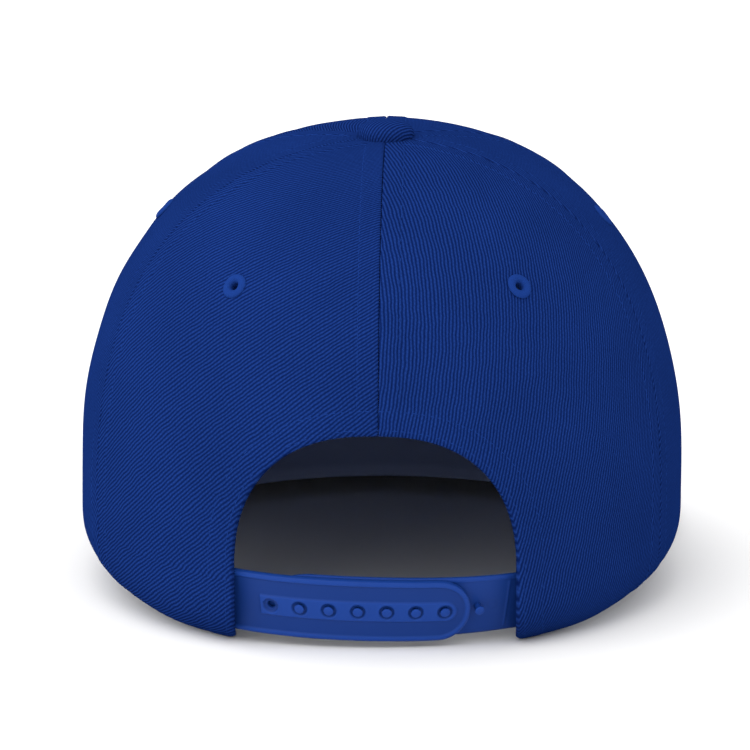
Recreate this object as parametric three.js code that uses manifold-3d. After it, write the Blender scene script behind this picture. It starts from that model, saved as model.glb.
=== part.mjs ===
// Six-panel snapback cap: a stiffened crown of six sewn panels, a flat peak, a covered button, six
// embroidered eyelets, a sweatband and a two-part plastic strap that snaps together.
// Units are millimetres. +Z is up, the peak points to -Y and the strap is at +Y.
// The cap rests as it does by itself: on the back of its rim and the front corners of its peak.
import * as THREE from "three";
import { mergeVertices } from "three/addons/utils/BufferGeometryUtils.js";
import Module from "manifold-3d";

const wasm = await Module();
wasm.setup();

// Fits: the cloth wall with its stiffening, and the clearance between pieces that touch
const CLOTH = 2;
const GAP = 0.3;

// Crown: reaches are taken from the middle of the rim, heights from the rim at the back
const CROWN_HEIGHT = 129;
const WIDEST_HEIGHT = 22;
const WIDEST = { front: 105.4, side: 89, back: 100.6 };
const RIM = { front: 98.1, side: 81.6, back: 95.8 };
const RIM_SIDE_LIFT = 5; // the rim rises over the ears
const RIM_PULL = { depth: 6.4, from: 130, to: 165 }; // the strap pulls the back of the rim in, by degrees
const TUCK = 3.5; // power with which the wall turns in below its widest line
const SHOULDER = { front: 2.6, side: 2.46, back: 2.76 }; // 2 is an ellipse, more is squarer
const APEX = new THREE.Vector2(-1.2, -1); // the button's place from the rim's middle
const APEX_HOLE_RADIUS = 3;
const PANEL_FLATNESS = 0.01; // share by which the seams stand out round the top of the crown
const FLAT_FROM_CLIMB = 0.8; // the seams stand out fully above this share of the way up
const REST_TILT = THREE.MathUtils.degToRad(3.4); // the peak holds the front of the rim up

// Seams: degrees from the front at the rim, how far each leans forward half way up, and how far it is off
// towards the wearer's right
const SEAMS = [
  { angle: 0, lean: 0, aside: 0 },
  { angle: 60, lean: 0, aside: 0 },
  { angle: 114, lean: 2.5, aside: 0 },
  { angle: 180, lean: 0, aside: 0.7 },
];

// Panels: the seams on their two edges, and where the eyelet sits, across from -1 to 1 and up from 0 to 1
const PANELS = [
  { name: "front", seams: [0, 1], eyelets: { left: [0.05, 0.52], right: [0.05, 0.52] } },
  { name: "side", seams: [1, 2], eyelets: { left: [0, 0.53], right: [0.176, 0.53] } },
  { name: "back", seams: [2, 3], eyelets: { left: [-0.015, 0.469], right: [0.01, 0.472] } },
];
const SIDES = { left: 1, right: -1 }; // the wearer's left is +X

// Arch over the strap
const ARCH = { halfWidth: 40.6, spring: 25, rise: 42, roundness: 2.3 };

// Embroidered eyelets: a ring of thread on both faces of the cloth, joined through the hole
const EYELET = { holeRadius: 1.1, threadThrough: 0.8, outerRadius: 4, innerRadius: 3.4, thickness: 0.7 };

// Covered button on top
const BUTTON = { radius: 8.3, height: 4.5, roundness: 2.6, shankRadius: 1.6, shankLength: 4 };

// Sweatband inside the rim
const SWEATBAND = { height: 32, thickness: 1.2, clearance: 2 }; // it ends this far from the strap's roots

// Snap strap: both halves are the same height; lengths run along the wall from the middle of the back
const STRAP_LEAN = THREE.MathUtils.degToRad(1.2); // the strap drops towards the wearer's right
const STRAP_TAUT = 3.6; // the taut strap cuts this far inside the wall's curve at its middle
const STRAP = { low: 3.6, height: 20, base: 1.2, border: 0.5, borderWidth: 1.5, endRadius: 9.5, hidden: 13 };
const SNAP = { count: 7, pitch: 8.8, freePitch: 10.5, firstHole: 31.6, endMargin: 7.6, pinEndMargin: 10.9 };
const HOLE = { throatRadius: 1.3, sinkRadius: 2.35, sinkFloorRadius: 2.1, sinkDepth: 0.7 };
const PIN = { neckRadius: 1, headRadius: 1.4, headStart: 1.6, flare: 0.15, dome: 0.25, height: 2.5 };
const PIN_END_LENGTH = 15; // the inner half's hidden end is a longer oval
const HOLE_BAND = { height: 6.5, squareMargin: 3.2, roundMargin: 3.6 }; // raised band round the holes

// Peak
const PEAK = { length: 70, halfWidth: 89, thickness: 3, rootAngle: 76, widestAhead: 36, roundness: 2.5 };
const PEAK_SLOPE = THREE.MathUtils.degToRad(3.5);
const PEAK_ARCH = { drop: 5.6, at: 80 }; // the peak falls this far at this distance from its middle
const PEAK_EAR = 1; // the ends of the peak stand this far out of the crown
const PEAK_BLEND = 50; // the peak follows the rim less and less over this distance

// Facets
const PANEL_COLUMNS = 12;
const LOWER_ROWS = 4;
const UPPER_ROWS = 12;
const ROW_SPREAD = 1.25; // power that evens out the rows up the crown
const RING_SEGMENTS = 10;
const FACET_DEPTH = 0.15; // the flat facets of a panel lie about this far inside its true curve
const STRAP_ROWS = 1;
const STRAP_STEP = 5;
const PEAK_COLUMNS = 36;
const PEAK_ROWS = 4;
const SWEATBAND_COLUMNS = 34;

const material = (color, roughness) => new THREE.MeshStandardMaterial({ color, roughness, metalness: 0 });
const TWILL = material(0x1b3f8c, 0.85);
const THREAD = material(0x2a509f, 0.6);
const PLASTIC = material(0x22479a, 0.42);
const BAND_CLOTH = material(0x1a2c5c, 0.9);

// Evenly spaced numbers from one value to another, both ends included.
const spaced = (from, to, steps) =>
  Array.from({ length: steps + 1 }, (_, step) => from + ((to - from) * step) / steps);

const smoothstep = (x) => THREE.MathUtils.smoothstep(x, 0, 1);
const angleOf = (degrees) => THREE.MathUtils.degToRad(degrees);

// A closed solid between an outer and an inner sheet. point(column, row, layer) gives a corner, where
// layer 0 is the outer sheet, and the outer sheet is seen with columns to the right and rows upwards.
function slab(columnValues, rowValues, point) {
  const corners = [0, 1].flatMap((layer) =>
    rowValues.flatMap((row) => columnValues.flatMap((column) => point(column, row, layer).toArray())),
  );
  const columns = columnValues.length;
  const rows = rowValues.length;
  const at = (column, row, layer) => (layer * rows + row) * columns + column;
  const triangles = [];
  const quad = (a, b, c, d) => triangles.push(a, b, c, a, c, d);
  for (let row = 0; row < rows - 1; row++)
    for (let column = 0; column < columns - 1; column++) {
      quad(at(column, row, 0), at(column + 1, row, 0), at(column + 1, row + 1, 0), at(column, row + 1, 0));
      quad(at(column, row, 1), at(column, row + 1, 1), at(column + 1, row + 1, 1), at(column + 1, row, 1));
    }
  for (let column = 0; column < columns - 1; column++) {
    quad(at(column, 0, 1), at(column + 1, 0, 1), at(column + 1, 0, 0), at(column, 0, 0));
    const top = rows - 1;
    quad(at(column, top, 0), at(column + 1, top, 0), at(column + 1, top, 1), at(column, top, 1));
  }
  for (let row = 0; row < rows - 1; row++) {
    quad(at(0, row, 0), at(0, row + 1, 0), at(0, row + 1, 1), at(0, row, 1));
    const last = columns - 1;
    quad(at(last, row, 1), at(last, row + 1, 1), at(last, row + 1, 0), at(last, row, 0));
  }
  const geometry = new THREE.BufferGeometry();
  geometry.setAttribute("position", new THREE.Float32BufferAttribute(corners, 3));
  return geometry.setIndex(triangles);
}

// A three.js geometry as a manifold-3d solid, for cutting and joining.
function solidOf(geometry) {
  const bare = geometry.clone().deleteAttribute("normal").deleteAttribute("uv");
  const merged = mergeVertices(bare, 1e-4);
  return new wasm.Manifold(
    new wasm.Mesh({
      numProp: 3,
      vertProperties: merged.attributes.position.array,
      triVerts: new Uint32Array(merged.index.array),
    }),
  );
}

function geometryOf(solid) {
  const mesh = solid.getMesh();
  const geometry = new THREE.BufferGeometry();
  geometry.setAttribute("position", new THREE.BufferAttribute(mesh.vertProperties, 3));
  geometry.setIndex(new THREE.BufferAttribute(mesh.triVerts, 1));
  return geometry;
}

// A value that eases round the crown from its front, through its side, to its back figure.
function around(angle, value) {
  const c = Math.cos(angle);
  return value.side * (1 - c * c) + (value.front * (c * c + c)) / 2 + (value.back * (c * c - c)) / 2;
}

// A point of an oval with its own reach to the front, side and back, at an angle from the front.
function oval(angle, reach) {
  const c = Math.cos(angle);
  const depth = reach.back + ((reach.front - reach.back) * (1 + c)) / 2;
  return new THREE.Vector2(reach.side * Math.sin(angle), -depth * c);
}

// How far the back of the rim is pulled in at an angle.
function rimPull(angle) {
  const [from, to] = [RIM_PULL.from, RIM_PULL.to].map((degrees) => -Math.cos(angleOf(degrees)));
  return RIM_PULL.depth * smoothstep((-Math.cos(angle) - from) / (to - from));
}

const rimHeight = (angle) => RIM_SIDE_LIFT * Math.sin(angle) ** 2;
const shoulderPower = (angle) => 2 / around(angle, SHOULDER);

// The crown's outer face. climb is -1 at the rim, 0 on the widest line and 1 at the button.
// Above the widest line each profile is a superellipse, and below it the wall tucks in by a power curve.
function crownSkin(angle, climb) {
  const power = shoulderPower(angle);
  const turn = (Math.max(climb, 0) * Math.PI) / 2;
  const below = Math.max(-climb, 0);
  const shrink = Math.cos(turn) ** power;
  const rim = oval(angle, RIM).sub(new THREE.Vector2(0, rimPull(angle)));
  const plan = oval(angle, WIDEST).lerp(rim, below ** TUCK);
  const height =
    WIDEST_HEIGHT +
    (CROWN_HEIGHT - WIDEST_HEIGHT) * Math.sin(turn) ** power -
    (WIDEST_HEIGHT - rimHeight(angle)) * below;
  plan.multiplyScalar(shrink).addScaledVector(APEX, 1 - shrink);
  return new THREE.Vector3(plan.x, plan.y, height);
}

// The outward normal: level on the lower wall, and the true one above the widest line.
function crownNormal(angle, climb) {
  const step = 1e-3;
  const along = crownSkin(angle + step, climb).sub(crownSkin(angle - step, climb));
  if (climb <= 0) return new THREE.Vector3(along.y, -along.x, 0).normalize();
  const up = crownSkin(angle, climb).sub(crownSkin(angle, climb - step));
  return along.cross(up).normalize();
}

// The climb at which a profile reaches a height.
function climbOf(angle, height) {
  if (height <= WIDEST_HEIGHT) return (height - WIDEST_HEIGHT) / (WIDEST_HEIGHT - rimHeight(angle));
  const share = (height - WIDEST_HEIGHT) / (CROWN_HEIGHT - WIDEST_HEIGHT);
  return (Math.asin(share ** (1 / shoulderPower(angle))) * 2) / Math.PI;
}

// A point at a height on the wall, moved level towards the inside of the crown.
function wallPoint(angle, height, inset) {
  const climb = climbOf(angle, height);
  const level = crownNormal(angle, Math.min(climb, 0));
  return crownSkin(angle, climb).addScaledVector(level, -inset);
}

// The angle of a seam at a climb, on a side: it leans forward most half way up.
function seamAngle(seam, climb, side) {
  const lean = seam.lean * Math.sin(Math.PI * Math.max(climb, 0));
  return angleOf(seam.angle + side * seam.aside - lean);
}

// The climb at the rim of the hole under the button.
function topClimb(angle) {
  const power = shoulderPower(angle);
  const share = APEX_HOLE_RADIUS / oval(angle, WIDEST).length();
  return (Math.acos(share ** (1 / power)) * 2) / Math.PI;
}

// A point of a panel's outer face, with across from -1 to 1 between its seams. Towards the top the
// seams stand out and the cloth between them lies flatter, so level sections turn six-sided.
function panelPoint(edges, across, climb) {
  const [first, second] = edges(climb);
  const angle = THREE.MathUtils.lerp(first, second, (across + 1) / 2);
  const point = crownSkin(angle, climb);
  const flat = PANEL_FLATNESS * smoothstep(climb / FLAT_FROM_CLIMB);
  const spread = 1 + flat * (across * across - 1 / 3);
  point.x = APEX.x + (point.x - APEX.x) * spread;
  point.y = APEX.y + (point.y - APEX.y) * spread;
  return { point, angle };
}

// The two seam angles of a panel, smaller first, on the wearer's left or right.
function edgesOf(panel, side) {
  const [near, far] = panel.seams.map((index) => SEAMS[index]);
  return (climb) => {
    const angles = [seamAngle(near, climb, side), seamAngle(far, climb, side)];
    return side > 0 ? angles : [-angles[1], -angles[0]];
  };
}

// One panel of the crown: a wall of cloth that stops half a gap short of each seam.
function panelGeometry(edges) {
  const rows = [...spaced(-1, 0, LOWER_ROWS), ...spaced(0, 1, UPPER_ROWS).slice(1)];
  return slab(spaced(-1, 1, PANEL_COLUMNS), rows, (across, row, layer) => {
    const climbAt = (angle) => (row <= 0 ? row : row ** ROW_SPREAD * topClimb(angle));
    const middle = edges(Math.max(row, 0)).reduce((sum, angle) => sum + angle, 0) / 2;
    const first = panelPoint(edges, across, climbAt(middle));
    const climb = climbAt(first.angle);
    const { point, angle } = panelPoint(edges, across, climb);
    const normal = crownNormal(angle, climb);
    const level = new THREE.Vector3(-normal.y, normal.x, 0).normalize();
    const edge = Math.abs(across) === 1 ? Math.sign(across) : 0;
    return point.addScaledVector(level, (-edge * GAP) / 2).addScaledVector(normal, -CLOTH * layer);
  });
}

// The arch over the strap as a prism through the back wall: straight sides under a superellipse.
function archCutter() {
  const power = 2 / ARCH.roundness;
  const shape = new THREE.Shape();
  shape.moveTo(ARCH.halfWidth, -CLOTH - RIM_SIDE_LIFT);
  for (const turn of spaced(0, Math.PI, 24)) {
    const x = ARCH.halfWidth * Math.sign(Math.cos(turn)) * Math.abs(Math.cos(turn)) ** power;
    shape.lineTo(x, ARCH.spring + ARCH.rise * Math.sin(turn) ** power);
  }
  shape.lineTo(-ARCH.halfWidth, -CLOTH - RIM_SIDE_LIFT);
  const geometry = new THREE.ExtrudeGeometry(shape, { depth: WIDEST.back, bevelEnabled: false });
  return solidOf(geometry.rotateX(Math.PI / 2).translate(0, WIDEST.back + CLOTH, 0));
}

// A turned solid standing along a direction at a point.
function turned(profile, point, direction, segments = RING_SEGMENTS) {
  const mesh = new THREE.Mesh(
    new THREE.LatheGeometry(
      profile.map(([radius, height]) => new THREE.Vector2(radius, height)),
      segments,
    ),
  );
  mesh.position.copy(point);
  mesh.quaternion.setFromUnitVectors(new THREE.Vector3(0, 1, 0), direction);
  return mesh;
}

function placedSolid(mesh) {
  mesh.updateMatrix();
  return solidOf(mesh.geometry.clone().applyMatrix4(mesh.matrix));
}

// The thread ring of an eyelet, turned round the hole's axis, with height 0 on the cloth's outer face.
function eyeletProfile() {
  const { holeRadius, threadThrough, outerRadius, innerRadius, thickness } = EYELET;
  const neck = holeRadius + threadThrough;
  const top = GAP + thickness;
  const bottom = -CLOTH - GAP;
  return [
    [holeRadius, bottom - thickness],
    [innerRadius, bottom - thickness / 2],
    [innerRadius, bottom],
    [neck, bottom],
    [neck, GAP],
    [outerRadius, GAP],
    [outerRadius - thickness / 2, top],
    [neck, top + thickness / 2],
    [holeRadius, top],
    [holeRadius, bottom - thickness],
  ];
}

// The covered button: a low dome over a flat base, with a shank down through the crown.
function buttonProfile() {
  const power = 2 / BUTTON.roundness;
  const dome = spaced(0, Math.PI / 2, 5).map((turn) => [
    BUTTON.radius * Math.cos(turn) ** power,
    GAP + BUTTON.height * Math.sin(turn) ** power,
  ]);
  return [
    [0, -BUTTON.shankLength],
    [BUTTON.shankRadius, -BUTTON.shankLength],
    [BUTTON.shankRadius, GAP],
    ...dome.slice(0, -1),
    [0, GAP + BUTTON.height],
  ];
}

// Lengths along the inside of the wall, from the middle of the back, at even angles.
const strapMiddle = STRAP.low + STRAP.height / 2;
const backWalk = [{ angle: Math.PI, length: 0 }];
for (const angle of spaced(Math.PI, Math.PI / 2, 120).slice(1)) {
  const before = backWalk.at(-1);
  const stride = wallPoint(before.angle, strapMiddle, CLOTH).distanceTo(wallPoint(angle, strapMiddle, CLOTH));
  backWalk.push({ angle, length: before.length + stride });
}

// The angle at a length along the back wall, positive towards the wearer's left.
function backAngle(length) {
  const wanted = Math.abs(length);
  const next = backWalk.findIndex((stop) => stop.length > wanted);
  const [a, b] = [backWalk[next - 1], backWalk[next]];
  const angle = a.angle + ((b.angle - a.angle) * (wanted - a.length)) / (b.length - a.length);
  return length < 0 ? 2 * Math.PI - angle : angle;
}

// A strap's half height near its round end, at a distance from the tip. The end is a quarter oval above
// and below: radius tall and end long.
function roundedHalf(distance, half, radius, end) {
  const into = Math.min(distance / end, 1);
  return half - radius + radius * Math.sqrt(Math.max(1 - (1 - into) ** 2, 0));
}

// Stops along a strap from its round tip: close together on the round end, then even.
function strapStops(tip, root, end) {
  const towards = Math.sign(root - tip);
  const turns = spaced(Math.PI / 18, Math.PI / 2, 6);
  const onEnd = turns.map((turn) => tip + towards * end * (1 - Math.cos(turn)));
  const straight = Math.abs(root - tip) - end;
  const rest = spaced(onEnd.at(-1), root, Math.ceil(straight / STRAP_STEP)).slice(1);
  return [...onEnd, ...rest];
}

// Where the strap's outer face lies at a length: a point on its middle line, the direction straight up it
// and the direction square out of it. It is straight from edge to edge, and its roots lie just inside
// the wall.
function strapFrame(length) {
  const angle = backAngle(length);
  const middle = strapMiddle + length * Math.tan(STRAP_LEAN);
  const taut = STRAP_TAUT * Math.cos((Math.PI / 2) * Math.min(Math.abs(length) / strapRoot, 1)) ** 2;
  const low = wallPoint(angle, middle - STRAP.height / 2, CLOTH + GAP + taut);
  const high = wallPoint(angle, middle + STRAP.height / 2, CLOTH + GAP + taut);
  const up = high.clone().sub(low).normalize();
  const along = new THREE.Vector3(0, 0, 1).cross(crownNormal(angle, -1));
  return { point: low.lerp(high, 0.5), up, direction: along.cross(up).normalize() };
}

// A curved bar along the strap's line, from a round tip to a square root. outer and inner are depths
// under the strap's outer face.
function strapBar({ tip, root, half, radius, end = radius, outer, inner }) {
  const stops = strapStops(tip, root, end).sort((a, b) => b - a);
  return slab(stops, spaced(-1, 1, STRAP_ROWS), (length, share, layer) => {
    const { point, up, direction } = strapFrame(length);
    const rise = share * roundedHalf(Math.abs(length - tip), half, radius, end);
    return point.addScaledVector(up, rise).addScaledVector(direction, layer ? -inner : -outer);
  });
}

const holeLengths = Array.from({ length: SNAP.count }, (_, index) => SNAP.firstHole - index * SNAP.pitch);
const archLength = backWalk.find((stop) => Math.abs(oval(stop.angle, WIDEST).x) > ARCH.halfWidth).length;
const strapRoot = archLength + STRAP.hidden;
const holeBack = STRAP.border + STRAP.base; // depths under the outer face of the half with holes
const pinFace = holeBack + GAP;
const pinBack = pinFace + STRAP.base;

// The outer half: a raised border runs all round it, and a raised band holds a row of holes, each
// countersunk for the head of a pin.
function holeStrap() {
  const last = holeLengths.at(-1);
  const half = STRAP.height / 2;
  const body = strapBar({
    tip: last - SNAP.endMargin,
    root: strapRoot,
    half,
    radius: STRAP.endRadius,
    outer: 0,
    inner: holeBack,
  });
  const recess = strapBar({
    tip: last - SNAP.endMargin + STRAP.borderWidth,
    root: strapRoot + STRAP.borderWidth,
    half: half - STRAP.borderWidth,
    radius: STRAP.endRadius - STRAP.borderWidth,
    outer: -1,
    inner: STRAP.border,
  });
  const band = strapBar({
    tip: last - HOLE_BAND.roundMargin,
    root: holeLengths[0] + HOLE_BAND.squareMargin,
    half: HOLE_BAND.height / 2,
    radius: HOLE_BAND.height / 2,
    outer: 0,
    inner: STRAP.border + STRAP.base / 2,
  });
  let strap = solidOf(body).subtract(solidOf(recess)).add(solidOf(band));
  for (const length of holeLengths) {
    const { point, direction } = strapFrame(length);
    const profile = [
      [0, -holeBack - 1],
      [HOLE.throatRadius, -holeBack - 1],
      [HOLE.throatRadius, -HOLE.sinkDepth],
      [HOLE.sinkFloorRadius, -HOLE.sinkDepth],
      [HOLE.sinkRadius, 0],
      [HOLE.sinkRadius, 1],
      [0, 1],
    ];
    strap = strap.subtract(placedSolid(turned(profile, point, direction)));
  }
  return geometryOf(strap);
}

// The inner half: pins with round heads stand up from it. The first hole is empty and the last pin stands
// free, a little further along, because the inner half has the tighter curve.
function pinStrap() {
  const lengths = [...holeLengths.slice(1), holeLengths.at(-1) - SNAP.freePitch];
  const bar = strapBar({
    tip: lengths[0] + SNAP.pinEndMargin,
    root: -strapRoot,
    half: STRAP.height / 2,
    radius: STRAP.endRadius,
    end: PIN_END_LENGTH,
    outer: pinFace,
    inner: pinBack,
  });
  let strap = solidOf(bar);
  for (const length of lengths) {
    const { point, direction } = strapFrame(length);
    point.addScaledVector(direction, -pinFace);
    const dome = spaced(0, Math.PI / 2, 4).map((turn) => [
      PIN.headRadius * Math.cos(turn),
      PIN.height - PIN.dome * (1 - Math.sin(turn)),
    ]);
    const profile = [
      [0, -STRAP.base / 2],
      [PIN.neckRadius, -STRAP.base / 2],
      [PIN.neckRadius, PIN.headStart],
      [PIN.headRadius, PIN.headStart + PIN.flare],
      ...dome.slice(0, -1),
      [0, PIN.height],
    ];
    strap = strap.add(placedSolid(turned(profile, point, direction)));
  }
  return geometryOf(strap);
}

// The sweatband: a thin band inside the rim, from one root of the strap round the front to the other.
function sweatbandGeometry() {
  const end = backAngle(strapRoot + SWEATBAND.clearance);
  const rows = [...spaced(0, 1, LOWER_ROWS), 2]; // 0 at the rim, 1 on the widest line, 2 at the top
  return slab(spaced(-end, end, SWEATBAND_COLUMNS), rows, (angle, row, layer) => {
    const height = row > 1 ? SWEATBAND.height : THREE.MathUtils.lerp(rimHeight(angle), WIDEST_HEIGHT, row);
    return wallPoint(angle, height, CLOTH + GAP + SWEATBAND.thickness * layer);
  });
}

// Crown group: leans back by the rest tilt, with its lowest corners, beside the arch, on the surface.
const crown = new THREE.Group();
crown.rotation.x = -REST_TILT;
crown.updateMatrix();
const cornerAngle = Math.PI - Math.asin(ARCH.halfWidth / RIM.side);
crown.position.z = -crownSkin(cornerAngle, -1).applyMatrix4(crown.matrix).z;
crown.updateMatrix();

// The peak's outer edge in plan, from the wearer's left end round the front to the right end: a quarter
// ellipse out of the crown at each end, and a superellipse round the front.
function peakOutline(rootEnd, rootFront) {
  const power = 2 / PEAK.roundness;
  const side = rootEnd.y - PEAK.widestAhead;
  const front = rootFront.y - PEAK.length;
  const start = rootEnd.x + PEAK_EAR;
  const ear = spaced(0, Math.PI / 2, 8).map((turn) => [
    start + (PEAK.halfWidth - start) * Math.sin(turn),
    side + (rootEnd.y - side) * Math.cos(turn),
  ]);
  const round = spaced(0, Math.PI / 2, 24).map((turn) => [
    PEAK.halfWidth * Math.cos(turn) ** power,
    side - (side - front) * Math.sin(turn) ** power,
  ]);
  const left = [...ear.slice(0, -1), ...round.slice(0, -1)];
  const right = left.map(([x, y]) => [-x, y]).reverse();
  const points = [...left, [0, front], ...right].map(([x, y]) => new THREE.Vector3(x, y, 0));
  return new THREE.CatmullRomCurve3(points).getSpacedPoints(PEAK_COLUMNS);
}

// The peak: a board from under the front of the rim out to its edge. It slopes down and forwards and is
// slightly arched, and the corners of its edge touch the surface.
function peakGeometry() {
  const rootAngle = angleOf(PEAK.rootAngle);
  const rimAt = (angle, inset) => wallPoint(angle, rimHeight(angle), inset).applyMatrix4(crown.matrix);
  const outline = peakOutline(rimAt(rootAngle, 0), rimAt(0, 0));
  const root = spaced(rootAngle, -rootAngle, PEAK_COLUMNS).map((angle) => rimAt(angle, CLOTH));
  const front = outline[PEAK_COLUMNS / 2].y;
  const sag = ({ x, y }) => Math.tan(PEAK_SLOPE) * (y - front) - PEAK_ARCH.drop * (x / PEAK_ARCH.at) ** 2;
  const lowest = Math.min(...outline.map(sag));
  return slab(spaced(0, PEAK_COLUMNS, PEAK_COLUMNS), spaced(0, 1, PEAK_ROWS), (column, out, layer) => {
    const start = root[column];
    const point = start.clone().setZ(0).lerp(outline[column], out);
    const rootLift = start.z - GAP - PEAK.thickness - (sag(start) - lowest);
    const ahead = Math.hypot(point.x - start.x, point.y - start.y);
    const share = Math.max(1 - ahead / PEAK_BLEND, 0) ** 2;
    point.z = sag(point) - lowest + rootLift * share + PEAK.thickness * (1 - layer);
    return point;
  });
}

const cap = new THREE.Group();
cap.add(crown);

function addMesh(group, name, geometry, look) {
  const mesh = new THREE.Mesh(geometry, look);
  mesh.name = name;
  group.add(mesh);
  return mesh;
}

const arch = archCutter();
for (const panel of PANELS)
  for (const [sideName, side] of Object.entries(SIDES)) {
    const edges = edgesOf(panel, side);
    const [across, climb] = panel.eyelets[sideName];
    const seat = panelPoint(edges, side * across, climb);
    const direction = crownNormal(seat.angle, climb);
    seat.point.addScaledVector(direction, -FACET_DEPTH);
    const hole = EYELET.holeRadius + EYELET.threadThrough + GAP;
    const profile = [[0, -3 * CLOTH], [hole, -3 * CLOTH], [hole, CLOTH], [0, CLOTH]];
    const drill = placedSolid(turned(profile, seat.point, direction));
    const drilled = solidOf(panelGeometry(edges)).subtract(drill);
    const solid = panel.name === "back" ? drilled.subtract(arch) : drilled;
    addMesh(crown, `panel_${panel.name}_${sideName}`, geometryOf(solid), TWILL);
    const eyelet = turned(eyeletProfile(), seat.point, direction);
    eyelet.name = `eyelet_${panel.name}_${sideName}`;
    eyelet.material = THREAD;
    crown.add(eyelet);
  }

const crownTop = new THREE.Vector3(APEX.x, APEX.y, CROWN_HEIGHT);
const button = turned(buttonProfile(), crownTop, new THREE.Vector3(0, 0, 1), 2 * RING_SEGMENTS);
button.name = "button";
button.material = TWILL;
crown.add(button);

addMesh(crown, "sweatband", sweatbandGeometry(), BAND_CLOTH);
addMesh(crown, "strap_holes", holeStrap(), PLASTIC);
addMesh(crown, "strap_pins", pinStrap(), PLASTIC);
addMesh(cap, "peak", peakGeometry(), TWILL);

// The origin is under the middle of the cap's box, on the surface that it rests on.
cap.updateMatrixWorld(true);
const middle = new THREE.Box3().setFromObject(cap, true).getCenter(new THREE.Vector3());
cap.position.set(-middle.x, -middle.y, 0);

export default cap;
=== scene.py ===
# %% [markdown]
# # A snapback cap, seen from behind
# The cap is six panels of stiff blue twill sewn to a point under a covered button. It has a flat peak
# at the front and an arched opening at the back, closed by a strap that snaps together.
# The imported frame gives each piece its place. This script works out a finer surface for every piece
# from the same measures, and gives it cloth, thread or plastic to look at.

import math
from types import SimpleNamespace

import bpy
import numpy as np
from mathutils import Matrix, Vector


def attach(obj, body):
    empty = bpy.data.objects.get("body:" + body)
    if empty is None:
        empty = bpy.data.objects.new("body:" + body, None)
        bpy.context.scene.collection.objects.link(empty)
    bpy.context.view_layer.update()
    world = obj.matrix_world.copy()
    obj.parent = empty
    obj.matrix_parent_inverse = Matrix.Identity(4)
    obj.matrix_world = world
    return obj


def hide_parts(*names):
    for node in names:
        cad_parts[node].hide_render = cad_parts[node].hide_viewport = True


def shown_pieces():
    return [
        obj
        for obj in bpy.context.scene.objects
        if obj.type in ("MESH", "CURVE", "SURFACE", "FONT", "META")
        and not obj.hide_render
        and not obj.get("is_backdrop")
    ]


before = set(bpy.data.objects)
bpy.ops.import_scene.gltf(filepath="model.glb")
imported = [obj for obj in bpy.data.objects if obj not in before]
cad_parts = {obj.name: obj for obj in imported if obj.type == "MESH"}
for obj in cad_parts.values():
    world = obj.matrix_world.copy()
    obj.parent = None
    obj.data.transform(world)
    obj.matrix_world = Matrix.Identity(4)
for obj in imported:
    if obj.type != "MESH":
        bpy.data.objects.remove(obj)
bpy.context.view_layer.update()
FINE = 1.0
MM = 0.001

# %% [markdown]
# ## Camera
# A product photographer stands well back with a long lens, so that the cap keeps its proportions. The
# lens sits 1.5 m away, a little above the cap and a touch to its right side. It could be placed by eye,
# but here it is worked out from the angles, the distance and the scale at which the cap is seen.

# %% Camera
AIM = np.array([0.0, 33.35, 62.8])
DISTANCE = 1500.0
ELEVATION = math.radians(12.5)
YAW = math.radians(1.2)
PIXELS_PER_RADIAN = 5060.0
FRAME_PIXELS = 750.0
AIM_PIXEL = (381.9, 363.3)
SENSOR = 36.0


def add_camera():
    """Looks from the back: the aim point plus distance times the unit vector of yaw and elevation.
    Then it turns until the aim point falls on its own pixel instead of on the middle of the frame."""
    away = np.array(
        [
            -math.sin(YAW) * math.cos(ELEVATION),
            math.cos(YAW) * math.cos(ELEVATION),
            math.sin(ELEVATION),
        ]
    )
    right = np.array([-math.cos(YAW), -math.sin(YAW), 0.0])
    up = np.cross(away, right)
    across = (AIM_PIXEL[0] - FRAME_PIXELS / 2) / PIXELS_PER_RADIAN * DISTANCE
    down = (AIM_PIXEL[1] - FRAME_PIXELS / 2) / PIXELS_PER_RADIAN * DISTANCE
    place = AIM + away * DISTANCE
    middle = AIM - right * across + up * down
    camera = bpy.data.objects.new("camera", bpy.data.cameras.new("camera"))
    camera.data.sensor_width = SENSOR
    camera.data.lens = PIXELS_PER_RADIAN / FRAME_PIXELS * SENSOR
    camera.data.clip_end = 100.0
    camera.location = Vector(place * MM)
    camera.rotation_euler = Vector((middle - place) * MM).to_track_quat("-Z", "Y").to_euler()
    bpy.context.scene.collection.objects.link(camera)
    bpy.context.scene.camera = camera
    return camera


camera = add_camera()
print("camera: lens", round(camera.data.lens, 1), "mm at", [round(v, 3) for v in camera.location])

# %% [markdown]
# ## Floor and light
# The cap stands on white paper in soft light from the upper left, with a faint shadow to its right.
# A large softbox could do it, but its light fades with distance and greys the far floor. A sun lamp
# with a wide angle gives the same soft edge and lights the floor evenly out to the horizon.

# %% Floor and light
FLOOR_HALF = 30.0
PAPER_WHITE = (0.80, 0.797, 0.793)
SUN_DIRECTION = Vector((-1.05, -0.5, -0.95))
SUN_STRENGTH = 2.3
SUN_SOFTNESS = math.radians(100)
FILL_DIRECTION = Vector((0.35, -0.9, -0.9))
FILL_STRENGTH = 0.45
FILL_SOFTNESS = math.radians(60)
SKY_STRENGTH = 1.18


def simple_material(name, color, roughness):
    """A plain Principled material; the looks below add their nodes to it."""
    material = bpy.data.materials.new(name)
    material.use_nodes = True
    shader = material.node_tree.nodes["Principled BSDF"]
    shader.inputs["Base Color"].default_value = (*color, 1.0)
    shader.inputs["Roughness"].default_value = roughness
    return material


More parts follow.
